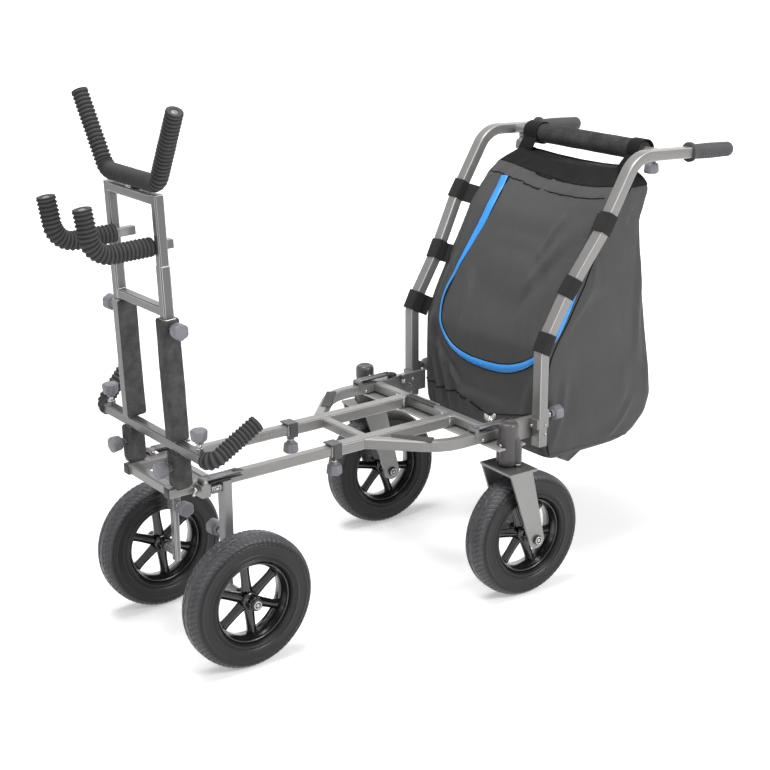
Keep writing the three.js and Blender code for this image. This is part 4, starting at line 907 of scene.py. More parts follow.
class TROLLEY_OT_axle_nuts(Operator):
    """Makes the dark collars and the plated rings and bolt heads on the wheel axles"""

    bl_idname = "trolley.axle_nuts"
    bl_label = "Axle nuts"

    def execute(self, context):
        for name, side in SIDES.items():
            middle, axle, _ = wheel_place(f"front_{name}")
            self.bolt(f"front_{name}", middle + axle * side * 0.0285, axle * side, f"front_leg_{name}", 11.6)
            middle, axle, _ = wheel_place(f"caster_{name}")
            for end, word in ((-1, "near"), (1, "far")):
                self.bolt(f"caster_{name}_{word}", middle + axle * end * 0.048, axle * end, f"caster_{name}", 9.6)
        return {"FINISHED"}

    def bolt(self, name, face, axis, body, reach):
        """A dark collar, a plated ring set in it and a domed bolt head in the ring, all turned about the axle."""
        collar = [
            (0.1, 0), (reach - 0.4, 0), (reach, 0.5), (reach, 4.0),
            (reach - 0.9, 5.4), (8.4, 6.1), (5.6, 6.5), (0.1, 6.5),
        ]
        ring = [(6.0, 5.5), (8.3, 5.9), (8.2, 7.0), (7.2, 7.5), (5.9, 7.3), (5.7, 6.4)]
        dome = [(0.1, 6.0), (3.6, 6.0), (3.6, 7.0), (2.8, 7.8), (0.1, 8.2)]
        seat(f"axle_collar_{name}", [round_part(face, axis, collar, 32)], body, "plug")
        plated = [round_part(face, axis, ring, 32, closed=True), round_part(face, axis, dome)]
        seat(f"axle_nut_{name}", plated, body, "steel")


# Ribbed foam


class TROLLEY_OT_ribbed_foam(Operator):
    """Makes the ribbed foam of the cradle, the rod horns and the butt horns"""

    bl_idname = "trolley.ribbed_foam"
    bl_label = "Ribbed foam"

    def execute(self, context):
        arms = [(0, -170, 685), (0, -92, 554.5), (0, 92, 554.5), (0, 170, 685)]
        self.arm("cradle_foam", leaned, arms, 16.2, 34, (1, 0, 0), "rod_cradle", "cradle")
        self.stub("cradle_mount", [(0, 0, 536.9), (0, 0, 541.5), (0, 0, 546)], 18, 2, (1, 0, 0), "rod_cradle")
        for name, side in SIDES.items():
            y = side * (POST_Y - 17.3)
            line = [(-10, y, 445), (-121, y, 445), (-131, y, 530)]
            self.arm(f"rod_horn_foam_{name}", leaned, line, 18.0, 40, (0, 1, 0), "rod_rest", f"rod_horn_{name}")
            line = [(-12, y, 445), (0, y, 445), (29.6, y, 445)]
            self.stub(f"rod_horn_stub_{name}", line, 16, 1.6, (0, 0, 1), "rod_rest")
            rise = math.radians(48 if side > 0 else 28)

            def tilted(points, rise=rise):
                """Points about the butt bar's axis turned up by the horn's rise: x' = x cos - z sin, z' = x sin +
                z cos."""
                points = np.asarray(points, float)
                x, z = points[..., 0], points[..., 2]
                c, s = math.cos(rise), math.sin(rise)
                return leaned(np.stack([x * c - z * s, points[..., 1], x * s + z * c + 83], -1))

            line = [(0, side * 182.3, 0), (0, side * 202.5, 0), (108, side * 202.5, 0)]
            across, node = tilted([0, 0, 1]) - tilted([0, 0, 0]), f"butt_horn_{name}"
            self.arm(f"butt_horn_foam_{name}", tilted, line, 16.8, 20, across, node, node)
        return {"FINISHED"}

    def stub(self, name, line, width, corner, across, body):
        """A short square tube carried along a line on the rest."""
        outline = rounded_square(width * MM, width * MM, corner * MM)
        seat(name, [skin_arrays(carried(leaned(line), outline, across))], body, "tube")

    def arm(self, name, carry, corners, radius, bend, across, body, node):
        """A circle carried along the bent route; its radius falls by depth |cos|^0.9 between the pointed ribs, and the
        ends turn in to a recessed core."""
        _, sizes = settings()
        route, marks = bent_route(corners, bend, sizes.rib_pitch / MM / 9)
        route = carry(route)
        heading = unit(np.gradient(route, axis=0))
        ribs = max(2, round(marks[-1] * MM / sizes.rib_pitch))
        count = ribs * marks / marks[-1]
        size = radius * MM - sizes.rib_depth * np.abs(np.cos(np.pi * count)) ** 0.9
        size = size * (1 + 0.012 * ripple(marks * 0.11, seed=len(name)))
        # The four rows at each end: share of the radius, and distance in from the end in metres
        share, inset = np.transpose([(0.40, 0.006), (0.42, 0.0), (0.66, -0.0009), (0.93, 0.0)])
        first, last = route[0] + heading[0] * inset[:, None], route[-1] - heading[-1] * inset[::-1, None]
        radii = np.concatenate([radius * MM * share, size, radius * MM * share[::-1]])
        headings = np.pad(heading, ((4, 4), (0, 0)), "edge")
        profile = circle(36) * radii[:, None, None]
        points = carried(np.concatenate([first, route, last]), profile, across, headings)
        # The UV's v counts the ribs; the ribbed foam's painted shade and highlight follow it
        count = np.pad(count, 4, constant_values=(0.4, ribs - 0.4))
        seat(name, [skin_arrays(points, marks=count)], body, "ribbed", [node])
        core, lip = 0.41 * radius, 0.34 * radius
        disc = [(0.1, -4.0), (core, -4.0), (core, -1.2), (lip, -0.4), (0.1, -0.3)]
        ends = ((0, -1), (-1, 1)) if name == "cradle_foam" else ((-1, 1),)
        cores = [round_part(route[end], heading[end] * sign, disc) for end, sign in ends]
        seat(f"{name}_cores", cores, body, "knob")


# Foam sleeves


class TROLLEY_OT_foam_sleeves(Operator):
    """Makes the slit foam sleeves of the posts and their feet"""

    bl_idname = "trolley.foam_sleeves"
    bl_label = "Foam sleeves"

    def execute(self, context):
        for name, side in SIDES.items():
            self.sleeve(f"post_sleeve_{name}", side, 96, 319, side > 0, f"post_foam_{name}")
            self.sleeve(f"foot_sleeve_{name}", side, 7.3, 72.7, False, f"foot_foam_{name}")
        return {"FINISHED"}

    def sleeve(self, name, side, low, high, open_slit, node):
        """A rounded-square wall with a slit, carried up the post; its face is dented by smooth unevenness and its ends
        are rounded by 1 - sqrt(1 - e^2)."""
        slack, gap, start = (8.0, 82, 135) if open_slit else (0.0, 2, 147)
        gap, start = math.radians(gap), math.radians(start)
        bore, wall, half = 25.6, 4.4, 90

        def resampled(outline):
            """The outline from one edge of the slit round to the other, evenly spaced in bearing."""
            closed = np.concatenate([outline, outline[:1]])
            turn = np.unwrap(np.arctan2(closed[:, 1], closed[:, 0]))
            marks = np.linspace(start + gap, start + 2 * np.pi - gap, half)
            wrapped = (marks - turn[0]) % (2 * np.pi) + turn[0]
            return np.stack([np.interp(wrapped, turn, closed[:, k]) for k in range(2)], 1)

        outer = resampled(rounded_square(bore + 2 * wall + slack, bore + 2 * wall, 7.5, 9))
        inner = resampled(rounded_square(bore + slack, bore, 2.0))
        section = np.concatenate([outer, inner[::-1]])
        normal = unit(section)
        z = np.linspace(low, high, max(12, int((high - low) / 2.4)))
        dent = ripple(*(normal.T * 1.6), z[:, None] * 0.045, seed=int(low) + 50 * (side > 0))
        fine = ripple(*(normal.T * 3), z[:, None] * 0.15, seed=7)
        end = 1 - np.clip(np.minimum(z - low, high - z) / 2.2, 0, 1)
        drop = 1.6 * (1 - np.sqrt(np.maximum(0.0, 1 - end**2)))
        swell = (0.7 * dent + 0.25 * fine - drop[:, None]) * np.repeat([1.0, 0.0], half)
        ring = section + normal * swell[..., None] + (slack / 2, side * POST_Y)
        points = leaned(np.concatenate([ring, np.broadcast_to(z[:, None, None], (len(z), 2 * half, 1))], -1))
        flat, quads, triangles, uv = skin_arrays(points, caps=False, size=(0.12, (high - low) * MM))
        # Strips between the outer and the inner line close both ends
        strip = np.arange(half - 1)
        cap = np.stack([strip, strip + 1, 2 * half - 2 - strip, 2 * half - 1 - strip], 1)
        ends = np.concatenate([cap[:, ::-1], cap + (len(z) - 1) * 2 * half])
        surface = flat, np.concatenate([quads, ends]), triangles, np.concatenate([uv, np.zeros((ends.size, 2))])
        seat(name, [surface], "butt_frame", "foam", [node])


# Knobs


class TROLLEY_OT_knobs(Operator):
    """Makes the fourteen clamping knobs with their studs"""

    bl_idname = "trolley.knobs"
    bl_label = "Knobs"

    def execute(self, context):
        # The stud's foot and direction on the right side, and the length of stud below the cap; millimetres
        for stem, carry, foot, way, stand_off in (
            ("leg_knob", at, (0, 85.4, 236), (0, -1, 0), 15.0),
            ("rail_knob", at, (259, RAIL_Y, 321.7), (0, 0, -1), 9.5),
            ("handle_knob", at, (687.3, HANDLE_Y, 353), (1, 0, 0), 14.0),
            ("bar_knob", at, (974, 196.5, 843.35), (0, 0, -1), 7.0),
            ("post_knob", leaned, (0, 98.3, 304), (0, 1, 0), 10.5),
            ("foot_knob", leaned, (-12.5, POST_Y, 45), (-1, 0, 0), 10.5),
            ("butt_knob", leaned, (0, 165, 93), (0, 0, 1), 17.0),
        ):
            for name, side in SIDES.items():
                mirror = np.array([1, side, 1])
                self.knob(f"{stem}_{name}", carry, foot * mirror, way * mirror, stand_off)
        return {"FINISHED"}

    def knob(self, node, carry, foot, way, stand_off):
        """A profile turned about the stud, fluted six times by r (1 - 0.085 ((1 + cos 6a) / 2)^2), with a domed end;
        the stud and its thin nut are plated."""
        base = carry(foot)
        axis = unit(carry(foot + way) - base)
        profile = np.array(
            [
                (5.4, 0.0), (7.2, 0.0), (7.8, 0.6), (8.2, 3.6), (9.6, 4.6), (12.6, 5.6), (13.8, 7.0), (14.4, 10.0),
                (15.2, 17.0), (15.6, 21.5), (15.2, 23.6), (13.6, 25.1), (10.5, 26.0), (9.6, 25.6), (8.6, 25.6),
                (4.0, 26.2), (0.4, 26.3),
            ]
        )
        columns = 60
        angle = np.linspace(0, 2 * np.pi, columns, endpoint=False)
        fluted = smooth(5.0, 9.0, profile[:, 1]) * smooth(0.0, 9.0, profile[:, 0])
        waist = 1 - 0.085 * fluted[:, None] * ((1 + np.cos(6 * angle)) / 2) ** 2
        forward = np.array([1.0, 0, 0]) if abs(axis[0]) < 0.7 else np.array([0, 1.0, 0])
        forward = unit(forward - axis * (forward @ axis))
        ring = ring_of(columns, forward, np.cross(axis, forward))
        height = (profile[:, 1] + stand_off) * MM
        points = base + (profile[:, :1] * waist * MM)[..., None] * ring + height[:, None, None] * axis
        seat(f"{node}_cap", [skin_arrays(points)], node, "knob", [node])
        stud = [round_part(base, axis, [(0.1, 0.3), (4.0, 0.3), (4.0, stand_off + 1), (0.1, stand_off + 1)], 20)]
        low = 9.7 if "foot" in node or "post" in node else 6.0
        if low + 3.7 < stand_off + 0.5:
            nut = [(0.1, low), (7.0, low), (7.4, low + 0.5), (7.4, low + 3.2), (6.8, low + 3.7), (0.1, low + 3.7)]
            stud.append(round_part(base, axis, nut, 6))
        seat(f"{node}_stud", stud, node, "steel")


# Handles


def handle_line(side):
    """Corners of a push handle's centre line in millimetres from the front axle: upright, raked and nearly level."""
    rake = math.tan(math.radians(58.5))
    low_y, high_y = side * HANDLE_Y, side * GRIP_Y
    raked = [(672 + (z - 494) / rake, y, z) for y, z in ((low_y, 494), (low_y, 604), (high_y, 718), (high_y, 857))]
    return [(672, low_y, 291), *raked, (raked[-1][0] + 152.55, high_y, 850)]


class TROLLEY_OT_handles(Operator):
    """Makes the bent push handles and their ribbed grips"""

    bl_idname = "trolley.handles"
    bl_label = "Handles"

    def execute(self, context):
        _, sizes = settings()
        outline = rounded_square(*(HANDLE_TUBE * MM), sizes.tube_corner, 6)
        for name, side in SIDES.items():
            route, _ = bent_route(handle_line(side), HANDLE_BEND, 3.0)
            tube = skin_arrays(carried(at(route), outline, (0, 1, 0)))
            seat(f"push_handle_{name}", [tube], "handle_frame", "handle", [f"handle_tube_{name}"])
            self.grip(name, side)
        return {"FINISHED"}

    def grip(self, name, side):
        """A profile turned about the grip's axis: a flange, then a body that swells over the palm by 0.9 sin^2, with
        slanted grooves 2.5 (1 - |sin|^0.5) deep."""
        corners = handle_line(side)
        axis = unit(np.subtract(corners[-1], corners[-2]))
        start = at(corners[-1]) + axis * 0.0003
        first, last = [0, 0, 0.8, 6.0, 7.2, 8.0], [118, 120.5, 122.5, 123.6, 124.0, 124.0]
        along = np.concatenate([first, np.linspace(8.4, 116, 170), last])
        radius = 15.3 + 0.9 * np.sin(np.pi * (along - 8) / 108) ** 2
        radius[:6] = [10.5, 19.6, 20.5, 20.2, 18.4, 16.4]
        radius[-6:] = [15.3, 14.6, 13.2, 11.0, 8.0, 0.4]
        columns = 60
        slanted = along[:, None] + 13.0 * circle(columns)[:, 0]
        body = (smooth(16, 19, along) * (1 - smooth(108, 112, along)))[:, None]
        radius = radius[:, None] - 2.5 * body * (1 - np.abs(np.sin(np.pi * slanted / 8.2)) ** 0.5)
        up = unit(UP - axis * axis[2])
        ring = ring_of(columns, up, np.cross(axis, up))
        points = start + radius[..., None] * MM * ring + along[:, None, None] * MM * axis
        seat(f"grip_rubber_{name}", [skin_arrays(points)], "handle_frame", "grip", [f"grip_{name}"])


class TROLLEY_OT_bar_pad(Operator):
    """Makes the padded sleeve of the grip bar"""

    bl_idname = "trolley.bar_pad"
    bl_label = "Bar pad"

    def execute(self, context):
        low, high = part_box("bar_pad")
        middle, half = box_middle("bar_pad"), (high.y - low.y) / 2
        inside = np.linspace(-half + 0.002, half - 0.002, 150)
        y = np.concatenate([[-half, -half + 0.0006], inside, [half - 0.0006, half]])
        theta = np.linspace(0, 2 * np.pi, 56, endpoint=False)
        dent = ripple(*(circle(56).T * 1.5), y[:, None] * 38, seed=5)
        fine = ripple(*(circle(56).T * 4), y[:, None] * 150, seed=11)
        edge = np.clip(1 - (half - np.abs(y)) / 0.003, 0, 1)
        seam = 0.0012 * np.exp(-(((np.mod(theta + 0.4, 2 * np.pi) - np.pi) / 0.05) ** 2))
        drop = 0.003 * (1 - np.sqrt(1 - edge**2))
        radius = 0.0208 + 0.0007 * dent + 0.00025 * fine - drop[:, None] - seam
        points = radius[..., None] * ring_of(56, (1, 0, 0), UP) + y[:, None, None] * np.array([0, 1, 0])
        surface = skin_arrays(points + middle * (1, 0, 1), size=(0.132, 2 * half))
        seat("bar_pad_sleeve", [surface], "handle_frame", "pad", ["bar_pad"])
        return {"FINISHED"}


# Bag

# The bag's outline at some heights: height, front, back, half width; millimetres
BAG_LEVELS = np.array(
    [
        (227.0, 770.0, 870.0, 155.0), (232.0, 738.0, 915.0, 178.0), (250.0, 708.0, 962.0, 187.0),
        (288.0, 699.0, 1003.0, 190.0), (330.0, 697.0, 1016.0, 191.0), (474.0, 700.0, 990.0, 191.0),
        (505.0, 712.0, 985.0, 191.0), (596.0, 754.0, 972.0, 190.0), (714.0, 814.0, 960.0, 189.0),
        (776.0, 866.0, 982.0, 188.0), (797.0, 892.0, 976.0, 183.0), (822.0, 918.0, 962.0, 150.0),
    ]
)
# Power n of the bag's rounded rectangle |x/a|^n + |y/b|^n = 1
SQUARENESS = 20.0

# Folds of the cloth: panel, start (across, height), end, half width, height of the ridge; millimetres
FOLDS = [
    ("front", (-150, 700), (40, 430), 16, 4.4),
    ("front", (-110, 755), (-50, 560), 9, 3.0),
    ("front", (60, 750), (15, 560), 12, 3.8),
    ("front", (110, 590), (40, 440), 13, 3.6),
    ("front", (-60, 640), (-150, 470), 14, 2.4),
    ("front", (10, 740), (-100, 640), 8, 1.8),
    ("front", (176, 500), (122, 250), 7, 8.4),
    ("front", (160, 430), (74, 262), 7, 7.2),
    ("front", (128, 400), (20, 268), 6, 4.4),
    ("front", (186, 400), (166, 250), 6, 4.6),
    ("front", (60, 330), (-60, 258), 7, 2.0),
    ("front", (-170, 430), (-120, 262), 12, 2.2),
    ("front", (160, 700), (172, 520), 5, 1.8),
    ("front", (172, 640), (150, 480), 5, 1.6),
    ("near", (940, 760), (760, 520), 10, 3.0),
    ("near", (962, 740), (965, 420), 9, 2.6),
    ("near", (900, 700), (720, 470), 16, 2.8),
    ("near", (880, 520), (800, 300), 30, 3.0),
    ("near", (985, 560), (1000, 330), 10, 2.4),
    ("near", (930, 420), (900, 260), 18, 2.4),
    ("near", (760, 420), (730, 260), 9, 2.2),
    ("near", (960, 330), (860, 240), 8, 2.6),
    ("far", (930, 750), (770, 540), 10, 3.0),
    ("far", (960, 720), (960, 440), 10, 2.6),
    ("far", (880, 560), (800, 320), 26, 2.8),
    ("far", (980, 520), (990, 330), 12, 2.2),
    ("far", (760, 420), (735, 262), 10, 2.4),
    ("back", (120, 740), (20, 480), 16, 2.8),
    ("back", (-130, 700), (-30, 430), 18, 2.8),
    ("back", (20, 640), (60, 320), 22, 2.6),
    ("back", (-150, 420), (-90, 262), 12, 2.4),
    ("back", (150, 400), (90, 262), 12, 2.4),
]


def eased_levels():
    """The bag's levels every millimetre, averaged over a window that rounds the corners of the profile."""
    z = np.arange(BAG_LEVELS[0, 0], BAG_LEVELS[-1, 0] + 1)
    return z, [averaged(np.interp(z, BAG_LEVELS[:, 0], column), 18) for column in BAG_LEVELS[:, 1:].T]


EASED_Z, EASED_LEVELS = eased_levels()


def bag_section(z):
    """Front, back and half width of the bag at a height."""
    return tuple(np.interp(z, EASED_Z, column) for column in EASED_LEVELS)


def bag_point(t, z, proud=0.0):
    """A point on the bag at bearing t and height z: a rounded rectangle |x/a|^n + |y/b|^n = 1 through the levels,
    pushed out by the swell of the panels, the folds and the gathers."""
    t, z = np.broadcast_arrays(np.asarray(t, float), np.asarray(z, float))
    front, back, half = bag_section(z)
    a, middle = (back - front) / 2, (back + front) / 2
    c, s = np.cos(t), np.sin(t)
    x, y = middle + a * signed_power(c, 2 / SQUARENESS), half * signed_power(s, 2 / SQUARENESS)
    nx, ny = signed_power(c, 2 - 2 / SQUARENESS) / a, signed_power(s, 2 - 2 / SQUARENESS) / half
    scale = np.hypot(nx, ny)
    nx, ny = nx / scale, ny / scale
    push = bag_swell(x, y, z, nx, ny) + proud
    return np.stack([x + nx * push, y + ny * push, z], -1)


def bag_swell(x, y, z, nx, ny):
    """How far the cloth stands out of its pattern, in millimetres: a bulge per panel, ridges exp(-(d/w)^2) with a dip
    beside them for the folds, and smooth unevenness for the gathers, the corners and the base."""
    masks = {
        "front": smooth(0.45, 0.9, -nx),
        "back": smooth(0.45, 0.9, nx),
        "near": smooth(0.45, 0.9, -ny),
        "far": smooth(0.45, 0.9, ny),
    }
    height = np.clip((z - 227) / 590, 0, 1)
    hill = np.sin(np.pi * height) ** 0.7
    front, back, half = bag_section(z)
    across = np.cos(np.pi * np.clip(y / half, -1, 1) / 2) ** 0.6
    deep = np.cos(np.pi * np.clip((2 * x - front - back) / (back - front), -1, 1) / 2) ** 0.6
    push = hill * (2.5 * across * masks["front"] + 5.0 * across * masks["back"])
    push = push + 9.0 * masks["far"] * smooth(230, 290, z) * (1 - smooth(520, 690, z))
    push = push + hill * 2.5 * deep * (masks["near"] + masks["far"])
    for panel, start, end, width, ridge in FOLDS:
        run = y if panel in ("front", "back") else x
        dx, dz = end[0] - start[0], end[1] - start[1]
        length = math.hypot(dx, dz)
        share = ((run - start[0]) * dx + (z - start[1]) * dz) / length**2
        off = ((run - start[0]) * dz - (z - start[1]) * dx) / length
        off = off + 5.0 * np.sin(share * 5.0 + start[0])
        taper = smooth(-0.1, 0.25, share) * (1 - smooth(0.7, 1.1, share))
        shape = np.exp(-((off / width) ** 2)) - 0.55 * np.exp(-(((off - 1.7 * width) / width) ** 2))
        push = push + 1.7 * ridge * shape * taper * masks[panel]
    edge = np.minimum(np.abs(half - np.abs(y)), 60)
    pucker = ripple(z * 0.32, edge * 0.05, seed=21) * np.exp(-edge / 14.0) * masks["front"]
    gathers = ripple(y * 0.21 + x * 0.13, z * 0.01, seed=3, waves=5)
    gathered = 2.2 + 2.6 * smooth(-60, 10, y) * masks["front"]
    push = push + 1.4 * pucker + gathered * gathers * np.exp(-(((z - 770) / 24.0) ** 2))
    base = ripple(y * 0.12 + x * 0.1, z * 0.05, seed=9) * np.exp(-(((z - 262) / 22.0) ** 2))
    broad = ripple(x * 0.02, y * 0.02, z * 0.018, seed=14, waves=5)
    return push + 1.6 * base + 1.2 * broad


def bag_bearings(columns):
    """Bearings spaced evenly by arc length round the bag's middle level."""
    t = np.linspace(0, 2 * np.pi, 4001)
    line = signed_power(np.stack([np.cos(t), np.sin(t)], 1), 2 / SQUARENESS) * (150, 191)
    reach = arc_lengths(line)
    return np.interp(np.linspace(0, reach[-1], columns, endpoint=False), reach, t)


def front_bearing(y, z):
    """Bearing of the point of the front panel that lies at y: the inverse of the rounded rectangle."""
    _, _, half = bag_section(z)
    share = np.clip(np.abs(y) / half, 0, 0.9999)
    t = np.arcsin(share ** (SQUARENESS / 2))
    return np.where(np.asarray(y) >= 0, np.pi - t, np.pi + t)


def wrapped_bearing(round_by, z):
    """Bearing of the point that lies a distance round the bag from the middle of its front, by arc length."""
    corner = 0.5 ** (1 / SQUARENESS)
    first = np.arcsin(np.linspace(0, corner, 160) ** (SQUARENESS / 2))
    second = np.arccos(np.linspace(corner, 0, 160)[1:] ** (SQUARENESS / 2))
    turn = np.concatenate([first, second])
    front, back, half = bag_section(z)
    x = ((back - front) / 2)[:, None] * np.cos(turn) ** (2 / SQUARENESS)
    y = half[:, None] * np.sin(turn) ** (2 / SQUARENESS)
    steps = np.hypot(np.diff(x, axis=1), np.diff(y, axis=1))
    reach = np.concatenate([np.zeros((len(x), 1)), np.cumsum(steps, axis=1)], axis=1)
    wanted = np.abs(round_by)
    index = np.clip((reach < wanted[:, None]).sum(1) - 1, 0, len(turn) - 2)
    row = np.arange(len(x))
    share = (wanted - reach[row, index]) / np.maximum(reach[row, index + 1] - reach[row, index], 1e-6)
    turned_by = turn[index] + np.clip(share, 0, 1) * (turn[index + 1] - turn[index])
    return np.pi - np.sign(round_by) * turned_by


# The band's lower edge across the front: place across, height; millimetres
BAND_EDGE = [
    (-176, 791), (-144, 786), (-104, 783), (-65, 782.4), (-21, 783), (25, 785.4), (78, 791.4), (122, 795.3),
    (160, 797.6),
]
# The seam between front and near panel: height, distance round the bag from the middle of the front; millimetres
CORNER_SEAM = [
    (252, 191.5), (300, 193.5), (435, 194.5), (455, 197.5), (474, 203), (501, 208), (550, 218), (598, 229),
    (650, 233), (786, 233),
]
# The zip from end to end: distance round the bag from the middle of the front, height, width of piping; millimetres
ZIP_LINE = np.array(
    [
        (124, 772, 23.0), (121, 752, 23.0), (116.5, 725, 22.0), (116.5, 701, 20.0), (120.5, 676, 18.0),
        (127, 652, 15.5), (134, 625, 13.0), (140.5, 599, 9.6), (147.5, 572, 7.2), (152, 547, 5.0),
        (154, 522, 4.0), (151.5, 496, 3.8), (145, 475, 4.2), (136.5, 456, 5.0), (123, 440, 6.5),
        (102, 424, 9.5), (75, 414.5, 12.5), (36, 408.4, 15.0), (-10, 408, 16.5), (-55, 411, 17.0),
        (-91, 419, 16.5), (-127, 433.5, 14.5), (-159, 453, 12.0), (-181, 476, 9.5), (-199, 504, 9.5),
        (-205, 542, 9.5), (-210, 578, 9.0), (-213, 630, 8.0), (-213, 680, 7.0),
    ]
)


def band_line(y):
    """Height of the band's lower edge across the front, from its sag in the middle."""
    return np.interp(y, *zip(*BAND_EDGE))


class TROLLEY_OT_bag(Operator):
    """Makes the cloth bag with its band, seams, piping, corner flap, straps and loops"""

    bl_idname = "trolley.bag"
    bl_label = "Bag"

    def execute(self, context):
        self.body()
        self.band()
        self.seams()
        self.piping()
        self.straps()
        self.loops()
        return {"FINISHED"}

    def body(self):
        """The bag's body: bearings round it against heights up it, closed by a flat base and a hidden top."""
        t = bag_bearings(380)
        z = np.concatenate([[227, 228, 230, 233, 237, 242], np.linspace(248, 806, 190)])
        points = at(bag_point(t, z[:, None]))
        seat("bag_body", [skin_arrays(points, size=(1.36, 0.6))], "handle_frame", "cloth", ["bag"])

    def band(self):
        """The black band round the top: it starts at the band line and closes over the bag's mouth."""
        t = bag_bearings(300)
        rise = np.concatenate([[0, 0.02, 0.05], np.linspace(0.1, 1, 26)])
        y = 185 * signed_power(np.sin(t), 2 / SQUARENESS)
        low = np.where(np.cos(t) < 0, band_line(y), 786.0)
        share = smooth(0.0, 0.5, np.abs(np.cos(t)))
        low = low * share + 784.0 * (1 - share)
        top = 821.5 - 9.0 * np.cos(np.pi * np.clip(y / 175, -1, 1) / 2) ** 0.8 + 1.2 * ripple(t * 6, seed=31)
        proud = np.interp(rise, [0, 0.02, 0.3, 1], [0.2, 2.0, 1.6, 1.2])[:, None]
        points = at(bag_point(t, low + (top - low) * rise[:, None], proud))
        inner = points[-1] * 0.9 + points[-1].mean(0) * 0.1 - 0.004 * UP
        surface = skin_arrays(np.concatenate([points, inner[None]]), size=(1.36, 0.05))
        seat("bag_band", [surface], "handle_frame", "band")

    def lay(self, name, bearings, heights, width, thickness, finish, lift=0.3, widths=None, closed=False, domed=False):
        """A flat strip laid on the cloth along a line of bearings and heights: a low rounded section whose out
        direction is the cloth's own."""
        line = bag_point(bearings, heights, lift)
        away = bag_point(bearings, heights, lift + 5.0) - line
        outline = circle(20) / 2 if domed else rounded_square(1.0, 1.0, 0.3, 3)
        widths = np.full(len(line), width) if widths is None else widths
        profile = outline * np.stack([widths, np.full(len(line), thickness)], 1)[:, None]
        points = carried(at(line), profile * MM, unit(away))
        seat(name, [skin_arrays(points, along=closed, size=(width * MM, 1.0))], "handle_frame", finish)

    def seams(self):
        """Stitched seams: under the band, below the gathers, down the front corners and round the base."""
        y = np.linspace(-178, 178, 260)
        for name, drop in (("hem_seam", 0.0), ("gather_seam", 22.0)):
            z = band_line(y) - drop
            self.lay(name, front_bearing(y, z), z, 2.2 if drop else 2.6, 2.6, "band")
        z = np.linspace(252, 786, 170)
        for name, side in SIDES.items():
            away = side * np.interp(z, *zip(*CORNER_SEAM))
            self.lay(f"corner_seam_{name}", wrapped_bearing(away, z), z, 2.6, 2.2, "band")
            self.lay(f"back_seam_{name}", np.full_like(z, side * 0.8), z, 2.4, 2.0, "cloth")
        places = [(188, 327), (140, 324), (75, 323), (20, 311), (-19, 301), (-90, 318), (-160, 338), (-188, 342)]
        y, z = (np.interp(np.linspace(0, 7, 160), range(8), column) for column in zip(*places))
        self.lay("front_seam", front_bearing(y, z), z, 2.4, 3.0, "band")
        t = bag_bearings(200)
        self.lay("base_seam", t, np.full_like(t, 249.0), 2.8, 2.2, "cloth", 0.2, closed=True)
        self.corner_flap()

    def corner_flap(self):
        """A folded corner of the base cloth that hangs below the left front corner: a thin triangle that bulges by
        3 sin sin."""
        corners = np.array([(752, -178, 236), (838, -168, 236), (806, -158, 209)], float)
        a, b = np.meshgrid(np.linspace(0, 1, 18), np.linspace(0, 1, 18), indexing="ij")
        edge = corners[0] * (1 - b[..., None]) + corners[1] * b[..., None]
        points = edge * (1 - a[..., None]) + corners[2] * a[..., None]
        points[..., 1] += 3.0 * np.sin(np.pi * b) * np.sin(np.pi * a)
        both = np.concatenate([points, (points + (0.0, 1.2, 0.0))[:, ::-1]], axis=1)
        seat("base_flap", [skin_arrays(at(both), size=(0.09, 0.03))], "handle_frame", "cloth")

    def piping(self):
        """The coloured piping of the zip: a swollen strip, wide at its ends and thin on the far bend, on a dark zip
        tape."""
        reach = arc_lengths(ZIP_LINE[:, :2])
        marks = np.linspace(0, reach[-1], 360)
        y, z, width = (averaged(np.interp(marks, reach, column), 9) for column in ZIP_LINE.T)
        t = wrapped_bearing(y, z)
        self.lay("zip_tape", t, z, 14, 1.4, "band", widths=width + 4.6)
        self.lay("zip_piping", t, z, 10, 6.0, "piping", 0.8, widths=width, domed=True)

    def straps(self):
        """Six straps: a band round the handle tube and a doubled tail to the bag's front corner."""
        for name, side in SIDES.items():
            route, _ = bent_route(handle_line(side), HANDLE_BEND, 1.0)
            for count, height in enumerate((504, 609, 731), 1):
                index = int(np.argmax(route[:, 2] >= height))
                heading = unit(route[index + 6] - route[index - 6])
                self.strap(f"strap_{name}_{count}", side, route[index], heading, height)

    def strap(self, name, side, centre, heading, height):
        """The outline of the band round the tube, carried along the tube for the strap's width; the tail is a thin
        sheet from the tube's outer face to the bag, with a slack wave."""
        across = np.array([0, 1.0, 0])
        across = unit(across - heading * (across @ heading))
        rearward = np.cross(across, heading)
        rearward = rearward * np.sign(rearward[0])
        run = np.linspace(-21.0, 21.0, 22)
        swell = 1 + 0.0042 * ripple(run * 0.25, seed=height + (side > 0))
        outer, inner = rounded_square(*(HANDLE_TUBE + 5.4), 4.8, 6), rounded_square(*(HANDLE_TUBE + 1.0), 3.2, 6)
        face, lip = (outline[:, :1] * rearward + outline[:, 1:] * across for outline in (outer, inner))
        centres = centre + run[:, None] * heading
        points = centres[:, None] + face * swell[:, None, None]
        points = np.concatenate([[centres[0] + lip], points, [centres[-1] + lip]])
        parts = [skin_arrays(at(points), along=True, size=(0.1, 0.042))]
        start = centre + side * across * 14.4
        end = bag_point(np.pi - side * 0.9, height, -1.0)
        end = end + heading * ((centre - end) @ heading)
        share = np.linspace(0, 1, 16)
        normal = unit(np.cross(heading, end - start))
        wave = 1.6 * np.sin(np.pi * share) * np.sign(normal[1] * side + 1e-6)
        sheet = start + share[:, None] * (end - start) + normal * wave[:, None] + run[:, None, None] * heading
        both = np.concatenate([sheet + normal * 1.3, (sheet - normal * 1.3)[:, ::-1]], axis=1)
        parts.append(skin_arrays(at(both), size=(0.12, 0.042)))
        seat(name, parts, "handle_frame", "strap")

